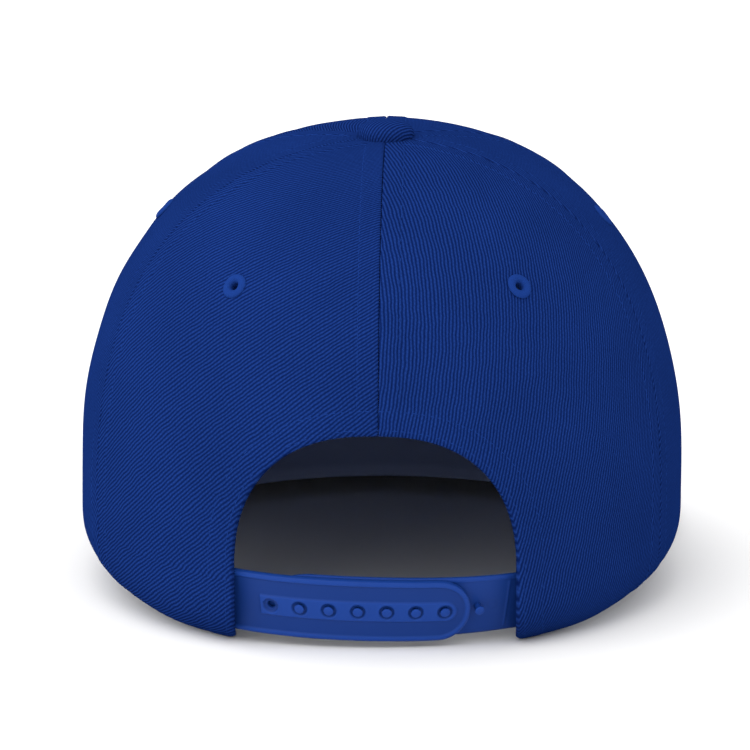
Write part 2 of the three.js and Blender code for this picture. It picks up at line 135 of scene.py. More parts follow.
def add_sun(name, direction, strength, softness):
    """A sun lamp that shines along a direction. A wide angle softens its shadows."""
    lamp = bpy.data.objects.new(name, bpy.data.lights.new(name, "SUN"))
    lamp.data.energy = strength
    lamp.data.angle = softness
    lamp.rotation_euler = direction.to_track_quat("-Z", "Y").to_euler()
    bpy.context.scene.collection.objects.link(lamp)
    return lamp


floor_mesh = bpy.data.meshes.new("floor")
floor_corners = [(-1, -1), (1, -1), (1, 1), (-1, 1)]
floor_mesh.from_pydata([(x * FLOOR_HALF, y * FLOOR_HALF, 0) for x, y in floor_corners], [], [(0, 1, 2, 3)])
floor = bpy.data.objects.new("floor", floor_mesh)
floor_mesh.materials.append(simple_material("paper", PAPER_WHITE, 0.9))
bpy.context.scene.collection.objects.link(floor)
floor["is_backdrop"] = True

add_sun("key", SUN_DIRECTION, SUN_STRENGTH, SUN_SOFTNESS)
add_sun("fill", FILL_DIRECTION, FILL_STRENGTH, FILL_SOFTNESS)
world = bpy.data.worlds.new("studio")
world.use_nodes = True
world.node_tree.nodes["Background"].inputs["Color"].default_value = (1.0, 1.0, 1.0, 1.0)
world.node_tree.nodes["Background"].inputs["Strength"].default_value = SKY_STRENGTH
bpy.context.scene.world = world
bpy.context.scene.view_settings.view_transform = "Standard"
print("light: one sun and one fill over a white floor")

# %% [markdown]
# ## Sheets with numpy
# Cloth and strap are thin walls. Blender's Solidify modifier could thicken a sheet, but its edges stay
# square. Here every wall is an outer and an inner sheet joined by a half round edge, like cloth that is
# turned over, and the whole sheet is computed as arrays.

# %% Helpers for grids and meshes
NO_TRIANGLES = np.zeros((0, 3), dtype=np.int64)


def grid_quads(rows, columns, closed=False):
    """Corner numbers of a grid's quads. Rows go up and columns to the right, as seen from outside."""
    column = np.arange(columns if closed else columns - 1)
    left = np.arange(rows - 1)[:, None] * columns + column
    right = np.arange(rows - 1)[:, None] * columns + (column + 1) % columns
    return np.stack([left, right, right + columns, left + columns], axis=-1).reshape(-1, 4)


def smooth(x):
    """0 below 0, 1 above 1, and 3x^2 - 2x^3 between."""
    x = np.clip(x, 0.0, 1.0)
    return x * x * (3 - 2 * x)


def unit(vectors):
    """Each vector divided by its own length."""
    return vectors / np.maximum(np.linalg.norm(vectors, axis=-1, keepdims=True), 1e-12)


def add_piece(name, points, quads, materials, triangles=NO_TRIANGLES, uv=None, inside=None):
    """Makes a mesh object from arrays in millimetres. uv holds a pair for each point, and inside marks
    the faces, quads first, that take the second material."""
    mesh = bpy.data.meshes.new(name)
    corners = np.concatenate([quads.ravel(), triangles.ravel()]).astype(np.int32)
    sizes = np.concatenate([np.full(len(quads), 4), np.full(len(triangles), 3)])
    starts = np.concatenate([[0], np.cumsum(sizes)[:-1]]).astype(np.int32)
    mesh.vertices.add(len(points))
    mesh.vertices.foreach_set("co", (points * MM).astype(np.float32).ravel())
    mesh.loops.add(len(corners))
    mesh.loops.foreach_set("vertex_index", corners)
    mesh.polygons.add(len(sizes))
    mesh.polygons.foreach_set("loop_start", starts)
    mesh.polygons.foreach_set("use_smooth", np.ones(len(sizes), dtype=bool))
    if inside is not None:
        mesh.polygons.foreach_set("material_index", inside.astype(np.int32))
    if uv is not None:
        layer = mesh.uv_layers.new(name="cloth")
        layer.data.foreach_set("uv", uv[corners].astype(np.float32).ravel())
    mesh.update(calc_edges=True)
    mesh.validate()
    for material in materials:
        mesh.materials.append(material)
    piece = bpy.data.objects.new(name, mesh)
    bpy.context.scene.collection.objects.link(piece)
    return piece


def wall(outer, inner, quads, triangles=NO_TRIANGLES, uv=None, bulge=0.3, steps=4):
    """Closes two sheets into a wall. Each point of the open edge gets a half ellipse from the outer to
    the inner sheet: middle + half * cos(turn) + outward * bulge * sin(turn).
    Returns points, quads, triangles, uv and a mark for the faces of the inner sheet."""
    count = len(outer)
    loops = [quads[:, [k, (k + 1) % 4]] for k in range(4)]
    loops += [triangles[:, [k, (k + 1) % 3]] for k in range(3)]
    edges = np.concatenate(loops)
    codes = edges[:, 0] * count + edges[:, 1]
    free = edges[~np.isin(edges[:, 1] * count + edges[:, 0], codes)]
    rim = np.unique(free)
    number = np.full(count, -1)
    number[rim] = np.arange(len(rim))
    along = unit(outer[free[:, 1]] - outer[free[:, 0]])
    depth = unit(outer - inner)
    sideways = np.cross(along, depth[free[:, 0]])
    outward = np.zeros((len(rim), 3))
    np.add.at(outward, number[free[:, 0]], sideways)
    np.add.at(outward, number[free[:, 1]], sideways)
    outward = unit(outward)
    middle = (outer[rim] + inner[rim]) / 2
    half = (outer[rim] - inner[rim]) / 2
    turns = np.linspace(0, math.pi, steps + 1)[1:-1]
    rolls = [middle + half * math.cos(t) + outward * bulge * math.sin(t) for t in turns]
    points = np.concatenate([outer, inner, *rolls])
    ids = [rim] + [2 * count + k * len(rim) + np.arange(len(rim)) for k in range(steps - 1)] + [rim + count]
    first, second = number[free[:, 0]], number[free[:, 1]]
    bands = [
        np.stack([upper[second], upper[first], lower[first], lower[second]], axis=-1)
        for upper, lower in zip(ids[:-1], ids[1:])
    ]
    all_quads = np.concatenate([quads, quads[:, ::-1] + count, *bands])
    all_triangles = np.concatenate([triangles, triangles[:, ::-1] + count])
    inner_quad = np.zeros(len(all_quads), dtype=bool)
    inner_quad[len(quads) : 2 * len(quads)] = True
    inner_triangle = np.zeros(len(all_triangles), dtype=bool)
    inner_triangle[len(triangles) :] = True
    all_uv = None if uv is None else np.concatenate([uv, uv] + [uv[rim]] * (steps - 1))
    return points, all_quads, all_triangles, all_uv, np.concatenate([inner_quad, inner_triangle])


print("helpers: grid, wall and mesh makers")

# %% [markdown]
# ## The crown's wall
# All panels lie on one surface, so that they meet at their seams whatever their size. Seen from above,
# the crown is an oval with its own reach to the front, side and back. Each profile rises as a
# superellipse to the button, and below the widest line the wall tucks in towards the rim.
# Sculpting could give the shape too, but a formula can be asked for any point: by an eyelet, a stitch
# or the strap.

# %% The crown's measures in millimetres
CROWN_HEIGHT = 129.0
WIDEST_HEIGHT = 22.0
WIDEST = SimpleNamespace(front=105.4, side=89.0, back=100.6)
RIM = SimpleNamespace(front=98.1, side=81.6, back=95.8)
RIM_SIDE_LIFT = 5.0
RIM_PULL = SimpleNamespace(depth=6.4, start=130.0, full=165.0)
TUCK = 3.5
SHOULDER = SimpleNamespace(front=2.6, side=2.46, back=2.76)
APEX = np.array([-1.2, -1.0])
APEX_HOLE_RADIUS = 3.0
PANEL_FLATNESS = 0.01
FLAT_FROM_CLIMB = 0.8
REST_TILT = math.radians(3.4)
CROWN_PLACE = np.array([0.0, 33.518, 3.405])
CLOTH = 2.0
GAP = 0.3


def around(angle, value):
    """Eases from the front value at 0, through the side value at 90, to the back value at 180 degrees."""
    c = np.cos(angle)
    return value.side * (1 - c * c) + value.front * (c * c + c) / 2 + value.back * (c * c - c) / 2


def oval(angle, reach):
    """An oval: x = side * sin, y = -depth * cos, where the depth eases from the back to the front."""
    c = np.cos(angle)
    depth = reach.back + (reach.front - reach.back) * (1 + c) / 2
    return reach.side * np.sin(angle), -depth * c


def rim_height(angle):
    """The rim rises over the ears as lift * sin^2."""
    return RIM_SIDE_LIFT * np.sin(angle) ** 2


def rim_pull(angle):
    """How far the strap pulls the back of the rim in: it eases from the one angle to the other."""
    start, full = (-math.cos(math.radians(a)) for a in (RIM_PULL.start, RIM_PULL.full))
    return RIM_PULL.depth * smooth((-np.cos(angle) - start) / (full - start))


def crown_skin(angle, climb):
    """The outer face. climb is -1 at the rim, 0 on the widest line and 1 at the button.
    Above: oval * cos(turn)^(2/n) and height * sin(turn)^(2/n). Below: the ovals mix by depth^3.5."""
    power = 2 / around(angle, SHOULDER)
    turn = np.clip(climb, 0, 1) * math.pi / 2
    below = np.clip(-climb, 0, 1)
    mix = below**TUCK
    shrink = np.cos(turn) ** power
    wide_x, wide_y = oval(angle, WIDEST)
    rim_x, rim_y = oval(angle, RIM)
    x = (wide_x * (1 - mix) + rim_x * mix) * shrink + APEX[0] * (1 - shrink)
    y = (wide_y * (1 - mix) + (rim_y - rim_pull(angle)) * mix) * shrink + APEX[1] * (1 - shrink)
    z = WIDEST_HEIGHT + (CROWN_HEIGHT - WIDEST_HEIGHT) * np.sin(turn) ** power
    return np.stack([x, y, z - (WIDEST_HEIGHT - rim_height(angle)) * below], axis=-1)


def crown_normal(angle, climb):
    """Outward: level on the lower wall, and square to the surface above the widest line."""
    step = 1e-4
    along = crown_skin(angle + step, climb) - crown_skin(angle - step, climb)
    level = np.stack([along[..., 1], -along[..., 0], np.zeros_like(along[..., 0])], axis=-1)
    above = np.maximum(climb, step)
    rise = crown_skin(angle, above) - crown_skin(angle, above - step)
    return unit(np.where((climb <= step)[..., None], unit(level), np.cross(along, rise)))


def climb_of(angle, height):
    """The climb at which a profile reaches a height."""
    low = (height - WIDEST_HEIGHT) / (WIDEST_HEIGHT - rim_height(angle))
    share = np.clip((height - WIDEST_HEIGHT) / (CROWN_HEIGHT - WIDEST_HEIGHT), 0, 1)
    high = np.arcsin(share ** (around(angle, SHOULDER) / 2)) * 2 / math.pi
    return np.where(height <= WIDEST_HEIGHT, low, high)


def wall_point(angle, height, inset):
    """A point at a height on the wall, moved level towards the inside."""
    climb = climb_of(angle, height)
    level = crown_normal(angle, np.minimum(climb, 0))
    return crown_skin(angle, climb) - level * np.asarray(inset)[..., None]


def to_rest(points):
    """Leans the crown back by the rest tilt and moves it to its place on the floor."""
    c, s = math.cos(REST_TILT), math.sin(REST_TILT)
    turn = np.array([[1, 0, 0], [0, c, -s], [0, s, c]])
    return points @ turn + CROWN_PLACE


widest_line = crown_skin(np.linspace(-math.pi, math.pi, 361), np.zeros(361))
around_mm = np.linalg.norm(np.diff(widest_line, axis=0), axis=1).sum()
print("crown:", round(around_mm), "mm round its widest line")

# %% [markdown]
# ## Panels
# Each panel is a pointed leaf between two seams. Its cloth is cut flat, so the weave has to run with
# the leaf: every point keeps its distance in millimetres from the middle line and from the rim, and
# the weave is drawn from those two numbers later.
# The side seams lean forward half way up, and the panels lie flatter between seams near the top.

# %% Panels: where each one lies
SEAMS = [
    SimpleNamespace(angle=0.0, lean=0.0, aside=0.0),
    SimpleNamespace(angle=60.0, lean=0.0, aside=0.0),
    SimpleNamespace(angle=114.0, lean=2.5, aside=0.0),
    SimpleNamespace(angle=180.0, lean=0.0, aside=0.7),
]
PANELS = [
    SimpleNamespace(name="front", seams=(0, 1), eyelets={"left": (0.05, 0.52), "right": (0.05, 0.52)}),
    SimpleNamespace(name="side", seams=(1, 2), eyelets={"left": (0.0, 0.53), "right": (0.176, 0.53)}),
    SimpleNamespace(name="back", seams=(2, 3), eyelets={"left": (-0.015, 0.469), "right": (0.01, 0.472)}),
]
SIDES = {"left": 1, "right": -1}


def seam_angle(seam, climb, side):
    """A seam's angle: it leans forward by lean * sin(pi * climb), most half way up."""
    lean = seam.lean * np.sin(math.pi * np.clip(climb, 0, 1))
    return np.radians(seam.angle + side * seam.aside - lean)


def top_climb(angle):
    """The climb at the rim of the hole under the button."""
    x, y = oval(angle, WIDEST)
    share = APEX_HOLE_RADIUS / np.hypot(x, y)
    return np.arccos(share ** (around(angle, SHOULDER) / 2)) * 2 / math.pi


def panel_edges(panel, side, climb):
    """The angles of a panel's two seams, the smaller one first."""
    near, far = (seam_angle(SEAMS[k], climb, side) for k in panel.seams)
    return (near, far) if side > 0 else (-far, -near)


def panel_angle(panel, side, across, climb):
    """The angle at a share across, between the seams' angles."""
    first, second = panel_edges(panel, side, climb)
    return first + (second - first) * (across + 1) / 2


def panel_skin(panel, side, across, climb):
    """A point of a panel: across runs from -1 to 1 between its seams, and level sections turn
    six-sided upwards as 1 + flat * (across^2 - 1/3)."""
    angle = panel_angle(panel, side, across, climb)
    point = crown_skin(angle, climb)
    flat = PANEL_FLATNESS * smooth(climb / FLAT_FROM_CLIMB)
    spread = 1 + flat * (across * across - 1 / 3)
    point[..., :2] = APEX + (point[..., :2] - APEX) * spread[..., None]
    return point, angle


def leaf_table(panel, side, samples=900):
    """Lengths on a panel by climb: up its middle line, and from that line to its seam."""
    middle = panel_angle(panel, side, np.zeros(1), np.zeros(1))
    climb = np.linspace(-1, float(top_climb(middle)[0]), samples)
    line, _ = panel_skin(panel, side, np.zeros(samples), climb)
    up = np.concatenate([[0], np.cumsum(np.linalg.norm(np.diff(line, axis=0), axis=1))])
    across = np.broadcast_to(np.linspace(0, 1, 25), (samples, 25))
    level, _ = panel_skin(panel, side, across, np.broadcast_to(climb[:, None], (samples, 25)))
    half = np.linalg.norm(np.diff(level, axis=1), axis=2).sum(axis=1)
    return SimpleNamespace(climb=climb, up=up, half=half)


leaves = {(p.name, s): leaf_table(p, k) for p in PANELS for s, k in SIDES.items()}
for panel in PANELS:
    leaf = leaves[panel.name, "left"]
    print(panel.name, "panel:", round(leaf.up[-1]), "mm up and", round(2 * leaf.half.max()), "mm wide")

# %% [markdown]
# ## Openings cut through the cloth
# The two back panels share an arch over the strap, and every panel has a small round hole under its
# eyelet. A boolean would leave long thin faces there. Instead the grid points next to an edge slide
# along the surface until they sit on it, and the faces inside are left out.

# %% Arch and eyelet holes
ARCH = SimpleNamespace(half_width=40.6, spring=25.0, rise=42.0, roundness=2.3)
EYELET = SimpleNamespace(hole=1.15, neck=1.9, flange=3.9, inner_flange=3.4, threads=42)


def arch_distance(points):
    """About how far a point lies outside the arch: (F - 1) over the length of F's slope, where F is
    ((x / half width)^n + (height above the spring / rise)^n)^(1/n)."""
    n = ARCH.roundness
    x = np.abs(points[..., 0]) / ARCH.half_width
    z = np.maximum(points[..., 2] - ARCH.spring, 0) / ARCH.rise
    f = np.maximum(x**n + z**n, 1e-9) ** (1 / n)
    slope = np.hypot((x / f) ** (n - 1) / ARCH.half_width, (z / f) ** (n - 1) / ARCH.rise)
    away = (f - 1) / np.maximum(slope, 1e-6)
    return np.where(points[..., 1] > 0, away, 1e3)


def eyelet_seat(panel, side_name):
    """Centre and outward direction of a panel's eyelet."""
    side = SIDES[side_name]
    across, climb = panel.eyelets[side_name]
    point, angle = panel_skin(panel, side, np.array([side * across]), np.array([climb]))
    return point[0], crown_normal(angle, np.array([climb]))[0]


def keep_distance(points, seat, has_arch):
    """Positive where the cloth stays: outside the arch and outside the eyelet's hole."""
    away = points - seat[0]
    height = away @ seat[1]
    radial = np.linalg.norm(away - height[..., None] * seat[1], axis=-1)
    keep = np.where(np.abs(height) < 10, radial - EYELET.neck, 1e3)
    return np.minimum(keep, arch_distance(points)) if has_arch else keep


def trim_grid(across, climb, measure):
    """Slides grid points onto the edge where measure(across, climb) is 0, and returns the moved grid
    with the quads and triangles that lie outside. Of each crossed grid line the nearer end moves."""
    value = measure(across, climb)
    near = np.zeros(value.shape, dtype=bool)
    for axis in (0, 1):
        low = [slice(None)] * 2
        high = [slice(None)] * 2
        low[axis], high[axis] = slice(0, -1), slice(1, None)
        a, b = value[tuple(low)], value[tuple(high)]
        crossed = a * b < 0
        near[tuple(low)] |= crossed & (np.abs(a) <= np.abs(b))
        near[tuple(high)] |= crossed & (np.abs(a) > np.abs(b))
    u, v = across[near], climb[near]
    step = 1e-5
    for _ in range(6):
        here = measure(u, v)
        du = (measure(u + step, v) - here) / step
        dv = (measure(u, v + step) - here) / step
        # a step in across is worth about as much cloth as a third of a step in climb
        scale = du * du + dv * dv / 9 + 1e-12
        u = u - here * du / scale
        v = v - here * dv / 9 / scale
    across, climb = across.copy(), climb.copy()
    across[near], climb[near] = u, v
    state = np.where(near, 0, np.sign(value)).ravel()
    quads = grid_quads(*value.shape)
    corner = state[quads]
    inside = (corner < 0).any(axis=1)
    outside = (corner > 0).any(axis=1)
    split = quads[inside & outside]
    kept = corner[inside & outside]
    whole = quads[outside & ~inside]
    turn = np.argmax(kept > 0, axis=1)[:, None]
    order = (turn + np.array([-1, 0, 1])) % 4
    return across, climb, whole, np.take_along_axis(split, order, axis=1)


def drop_unused(arrays, quads, triangles):
    """Leaves out the points that no face uses and renumbers the faces."""
    used = np.unique(np.concatenate([quads.ravel(), triangles.ravel()]))
    number = np.full(len(arrays[0]), -1)
    number[used] = np.arange(len(used))
    return [a[used] for a in arrays], number[quads], number[triangles]


print("openings: arch", 2 * ARCH.half_width, "mm wide and", ARCH.spring + ARCH.rise, "mm high")

# %% [markdown]
# ## Relief along seams and hems
# On a sewn cap each seam's spare cloth is folded open beneath the panel and stitched down, so a low
# ridge runs on both sides of the seam and ends in a groove under the stitches. The arch has a hem of
# the same kind. These are steps of a few tenths of a millimetre, and real geometry keeps them when the
# light grazes.

# %% Relief
SEAM_EDGE = 0.15
SEAM_STITCH = 6.0
HEM_STITCHES = (1.5, 6.6)
ALLOWANCE_LIFT = 0.26
STITCH_PITCH = 2.4
CORNER_RADIUS = 2.6


def ripple(u, v, scale, seed):
    """Soft unevenness: a few crossed waves of one rough length, between about -1 and 1."""
    rng = np.random.default_rng(seed)
    total = np.zeros_like(u)
    for _ in range(5):
        direction = rng.uniform(0, 2 * math.pi)
        wave = scale * rng.uniform(0.7, 1.5)
        phase = rng.uniform(0, 2 * math.pi)
        total += np.sin(2 * math.pi * (u * math.cos(direction) + v * math.sin(direction)) / wave + phase)
    return total / 2.6


def ridge(distance, stitch, along):
    """A raised band from an edge to its stitches: up near the edge, a groove that the thread pulls in
    and that deepens at each stitch's ends, and the flat cloth beyond. The very edge rolls inwards."""
    lift = ALLOWANCE_LIFT * (1 - smooth((distance - stitch + 0.6) / 1.3))
    pull = 0.6 + 0.4 * np.cos(2 * math.pi * along / STITCH_PITCH)
    groove = -0.16 * pull * np.exp(-(((distance - stitch) / 0.5) ** 2))
    roll = -0.3 * np.exp(-((distance / 0.45) ** 2))
    return lift + groove + roll


def panel_relief(panel, side_name, points, left_mm, right_mm, up_mm):
    """Adds up the ridge of the nearer seam, the hem of the arch and a slight unevenness of the cloth."""
    seed = 10 * PANELS.index(panel) + SIDES[side_name] + 5
    relief = ridge(np.minimum(left_mm, right_mm), SEAM_STITCH, up_mm)
    near_seam = np.exp(-np.minimum(left_mm, right_mm) / 9)
    relief += 0.1 * near_seam * ripple(left_mm, up_mm, 9, seed)
    relief += 0.22 * (1 - near_seam) * ripple(left_mm, up_mm, 42, seed + 1)
    rim = np.exp(-up_mm / 1.2)
    relief -= 0.35 * rim
    if panel.name == "back":
        distance = np.maximum(arch_distance(points), 0)
        hem = smooth(1 - (distance - HEM_STITCHES[1] + 0.6) / 1.3)
        inner = np.exp(-(((distance - HEM_STITCHES[0]) / 0.35) ** 2))
        outer = np.exp(-(((distance - HEM_STITCHES[1]) / 0.5) ** 2))
        relief += 0.25 * hem - 0.12 * inner - 0.15 * outer - 0.4 * np.exp(-((distance / 0.5) ** 2))
    return relief


print("relief: ridges", SEAM_STITCH, "mm wide along each seam")

# %% [markdown]
# ## Twill
# Twill is a weave whose threads step sideways by one each row, so that fine cords called wales run
# across the cloth on a slant. Here they are 1.05 mm apart and lean 37 degrees from the panel's middle
# line. A picture of the cloth could be projected on it, but a formula on the cloth's own millimetres
# follows each panel, stays sharp at any distance and never repeats visibly.
# The group gives a height, for the Bump node and as the share of painted shade in the valleys, and a slow
# tone.

# %% Twill node group
WALE_PITCH = 1.05
WALE_ANGLE = math.radians(37)
WALE_WANDER = 0.35
THREAD_PITCH = 1.25


class Nodes:
    """Short calls for a node tree: each adds a node, links what is a socket and sets what is a number."""

    def __init__(self, tree):
        self.tree = tree

    def put(self, node, index, value):
        if isinstance(value, bpy.types.NodeSocket):
            self.tree.links.new(value, node.inputs[index])
        else:
            node.inputs[index].default_value = value

    def math(self, operation, *values):
        node = self.tree.nodes.new("ShaderNodeMath")
        node.operation = operation
        for index, value in enumerate(values):
            self.put(node, index, value)
        return node.outputs[0]

    def noise(self, vector, scale, detail=2.0, roughness=0.5):
        node = self.tree.nodes.new("ShaderNodeTexNoise")
        self.put(node, "Vector", vector)
        node.inputs["Scale"].default_value = scale
        node.inputs["Detail"].default_value = detail
        node.inputs["Roughness"].default_value = roughness
        return node.outputs["Fac"]

    def mix(self, share, first, second):
        node = self.tree.nodes.new("ShaderNodeMix")
        node.data_type = "RGBA"
        self.put(node, 0, share)
        self.put(node, 6, first)
        self.put(node, 7, second)
        return node.outputs[2]

    def separate(self, vector):
        node = self.tree.nodes.new("ShaderNodeSeparateXYZ")
        self.put(node, 0, vector)
        return node.outputs

    def combine(self, *values):
        node = self.tree.nodes.new("ShaderNodeCombineXYZ")
        for index, value in enumerate(values):
            self.put(node, index, value)
        return node.outputs[0]


def new_group(name, inputs, outputs):
    """A node group with (name, kind, default) inputs and (name, kind) outputs."""
    group = bpy.data.node_groups.new(name, "ShaderNodeTree")
    for label, kind, default in inputs:
        socket = group.interface.new_socket(label, in_out="INPUT", socket_type=kind)
        if default is not None:
            socket.default_value = default
    for label, kind in outputs:
        group.interface.new_socket(label, in_out="OUTPUT", socket_type=kind)
    start = group.nodes.new("NodeGroupInput")
    end = group.nodes.new("NodeGroupOutput")
    return group, start.outputs, end.inputs


def make_twill_group():
    """Height = |sin(pi * w)|^1.7 * (0.82 + 0.12 * sin(2 pi * (t / 1.25 + 0.37 * floor(w)))) plus slubs,
    where w counts wales across the slant and t is the length along them. The slubs are noise stretched
    along the wales, and slower noise lets the wales wander."""
    group, given, result = new_group(
        "twill",
        [
            ("Cloth", "NodeSocketVector", None),
            ("Pitch", "NodeSocketFloat", WALE_PITCH),
            ("Angle", "NodeSocketFloat", WALE_ANGLE),
            ("Wander", "NodeSocketFloat", WALE_WANDER),
        ],
        [("Height", "NodeSocketFloat"), ("Tone", "NodeSocketFloat")],
    )
    n = Nodes(group)
    x, y, _ = n.separate(given["Cloth"])
    wander = n.math("MULTIPLY", n.math("SUBTRACT", n.noise(given["Cloth"], 0.16), 0.5), given["Wander"])
    c, s = n.math("COSINE", given["Angle"]), n.math("SINE", given["Angle"])
    over = n.math("SUBTRACT", n.math("MULTIPLY", x, c), n.math("MULTIPLY", y, s))
    along = n.math("ADD", n.math("MULTIPLY", x, s), n.math("MULTIPLY", y, c))
    wale = n.math("ADD", n.math("DIVIDE", over, given["Pitch"]), n.math("MULTIPLY", wander, 3.0))
    cord = n.math("POWER", n.math("ABSOLUTE", n.math("SINE", n.math("MULTIPLY", wale, math.pi))), 1.7)
    stagger = n.math("MULTIPLY", n.math("FLOOR", wale), 0.37)
    turns = n.math("ADD", n.math("DIVIDE", along, THREAD_PITCH), stagger)
    bead = n.math("SINE", n.math("MULTIPLY", turns, 2 * math.pi))
    slub = n.combine(over, n.math("MULTIPLY", along, 0.35), 0.0)
    fuzz = n.math("SUBTRACT", n.noise(slub, 2.2, 3.0, 0.65), 0.5)
    height = n.math("MULTIPLY", cord, n.math("ADD", n.math("MULTIPLY", bead, 0.12), 0.82))
    height = n.math("ADD", height, n.math("MULTIPLY", fuzz, 0.5))
    tone = n.math("ADD", n.noise(given["Cloth"], 0.03, 3.0), n.math("MULTIPLY", fuzz, 0.25))
    group.links.new(height, result["Height"])
    group.links.new(tone, result["Tone"])
    return group


twill_group = make_twill_group()
print("twill: wales", WALE_PITCH, "mm apart at", round(math.degrees(WALE_ANGLE)), "degrees")

# %% [markdown]
# ## Cloth, thread and plastic
# The twill is dyed deep royal blue and quite dull, and its valleys carry painted shade: its wales are
# lighter than the valleys between them. The thread is nearly the same blue. The strap is a satin
# moulding with a fine even grain, with a painted highlight where it stands up. The inside of the crown
# is a stiffened cloth and the sweatband a plain weave, both greyer than the twill; they look dark because
# little light gets in.

# %% Materials
# the valley blue is painted shade for the recesses between the wales
VALLEY_SHADE_BLUE = (0.0022, 0.0090, 0.062, 1.0)
CORD_BLUE = (0.0094, 0.0345, 0.180, 1.0)
BUMP_DEPTH = 0.00024
THREAD_BLUE = (0.0080, 0.0310, 0.165)
STRAP_BLUE = (0.0058, 0.0300, 0.168)
LINING_BLUE = (0.090, 0.125, 0.260)
BAND_BLUE = (0.200, 0.245, 0.400)


def cloth_material(name, angle):
    """Twill: the height mixes the two blues, the darker one painted shade for the valleys, and bumps, and
    the tone shifts them slightly.
    """
    material = simple_material(name, CORD_BLUE[:3], 0.82)
    tree = material.node_tree
    n = Nodes(tree)
    shader = tree.nodes["Principled BSDF"]
    shader.inputs["Specular IOR Level"].default_value = 0.0
    place = tree.nodes.new("ShaderNodeUVMap")
    place.uv_map = "cloth"
    weave = tree.nodes.new("ShaderNodeGroup")
    weave.node_tree = twill_group
    tree.links.new(place.outputs[0], weave.inputs["Cloth"])
    weave.inputs["Pitch"].default_value = WALE_PITCH
    weave.inputs["Angle"].default_value = angle
    weave.inputs["Wander"].default_value = WALE_WANDER
    # painted shade: the height gives the valleys between the wales the darker blue
    color = n.mix(weave.outputs["Height"], VALLEY_SHADE_BLUE, CORD_BLUE)
    shade = n.math("ADD", n.math("MULTIPLY", weave.outputs["Tone"], 0.3), 0.82)
    toned = tree.nodes.new("ShaderNodeVectorMath")
    toned.operation = "SCALE"
    tree.links.new(color, toned.inputs[0])
    tree.links.new(shade, toned.inputs["Scale"])
    tree.links.new(toned.outputs[0], shader.inputs["Base Color"])
    bump = tree.nodes.new("ShaderNodeBump")
    bump.inputs["Distance"].default_value = BUMP_DEPTH
    bump.inputs["Strength"].default_value = 1.0
    tree.links.new(weave.outputs["Height"], bump.inputs["Height"])
    tree.links.new(bump.outputs[0], shader.inputs["Normal"])
    return material


def grain_material(name, color, roughness, scale, depth, variation=0.12, level=0.3, raised=None):
    """An even grain on object coordinates: noise shifts the colour and the roughness and bumps. With
    raised, a painted highlight makes the parts of a moulding that stand up, which its UV map marks, that
    much lighter."""
    material = simple_material(name, color, roughness)
    tree = material.node_tree
    n = Nodes(tree)
    shader = tree.nodes["Principled BSDF"]
    shader.inputs["Specular IOR Level"].default_value = level
    place = tree.nodes.new("ShaderNodeTexCoord")
    grain = n.noise(place.outputs["Object"], scale, 4.0, 0.65)
    broad = n.noise(place.outputs["Object"], scale / 40, 2.0)
    dark = tuple(c * (1 - variation) for c in color) + (1.0,)
    light = tuple(min(c * (1 + variation), 1.0) for c in color) + (1.0,)
    share = n.math("ADD", n.math("MULTIPLY", grain, 0.5), n.math("MULTIPLY", broad, 0.5))
    tinted = n.mix(share, dark, light)
    # painted highlight: where the UV map marks a raised part, the colour is scaled up by raised, as if that
    # part caught more light
    if raised is not None:
        stands = tree.nodes.new("ShaderNodeUVMap")
        stands.uv_map = "cloth"
        mark = n.math("MINIMUM", n.math("MAXIMUM", n.separate(stands.outputs[0])[0], 0.0), 1.0)
        highlight_gain = n.math("ADD", n.math("MULTIPLY", mark, raised - 1.0), 1.0)
        lighter = tree.nodes.new("ShaderNodeVectorMath")
        lighter.operation = "SCALE"
        tree.links.new(tinted, lighter.inputs[0])
        tree.links.new(highlight_gain, lighter.inputs["Scale"])
        tinted = lighter.outputs[0]
    tree.links.new(tinted, shader.inputs["Base Color"])
    rough = n.math("ADD", n.math("MULTIPLY", grain, 0.16), roughness - 0.08)
    tree.links.new(rough, shader.inputs["Roughness"])
    bump = tree.nodes.new("ShaderNodeBump")
    bump.inputs["Distance"].default_value = depth
    tree.links.new(grain, bump.inputs["Height"])
    tree.links.new(bump.outputs[0], shader.inputs["Normal"])
    return material


twill = cloth_material("royal_twill", WALE_ANGLE)
peak_twill = cloth_material("peak_twill", math.radians(45))
thread = grain_material("blue_thread", THREAD_BLUE, 0.8, 2500.0, 0.00003, 0.15, level=0.0)
# the strap gets a painted highlight of 1.35 times its colour where it stands up
plastic = grain_material("strap_plastic", STRAP_BLUE, 0.45, 5200.0, 0.000012, 0.05, level=0.1, raised=1.35)
inner_cloth = grain_material("stiffened_lining", LINING_BLUE, 0.9, 1400.0, 0.00004, 0.12)
band_cloth = grain_material("sweatband_weave", BAND_BLUE, 0.85, 1800.0, 0.00005, 0.15)
print("materials:", ", ".join(m.name for m in (twill, peak_twill, thread, plastic, inner_cloth, band_cloth)))

# %% [markdown]
# ## Building the six panels
# A panel's grid has close columns near its seams, where the ridge and the groove are, and even ones
# between. The rows are evenly spaced in millimetres. The inner sheet follows the plain wall, so the
# relief shows outside only. The two back panels were turned a little on the roll before they were cut,
# each its own way, so their wales don't mirror each other.

# %% Panel grids
HEM_COLUMNS = [0.15, 0.3, 0.5, 0.75, 1.1, 1.6, 2.3, 3.2, 4.1]
GROOVE_COLUMNS = [4.9, 5.3, 5.6, 5.8, 6.0, 6.2, 6.4, 6.8, 7.3]
EDGE_COLUMNS = np.array(HEM_COLUMNS + GROOVE_COLUMNS)
EDGE_ROWS = np.array([0.0, 0.25, 0.6, 1.1, 1.8, 2.7])
FIRST_EVEN_ROW = 3.7
ROW_STEP = 1.2
NARROW = 9.5
CUT_TURN = {"left": math.radians(13), "right": math.radians(-21)}


def panel_frame(panel, side_name, across, climb):
    """Millimetres on the cloth at each point: from the left seam, from the right seam and up."""
    leaf = leaves[panel.name, side_name]
    half = np.interp(climb, leaf.climb, leaf.half)
    up = np.interp(climb, leaf.climb, leaf.up)
    return (1 + across) * half, (1 - across) * half, up


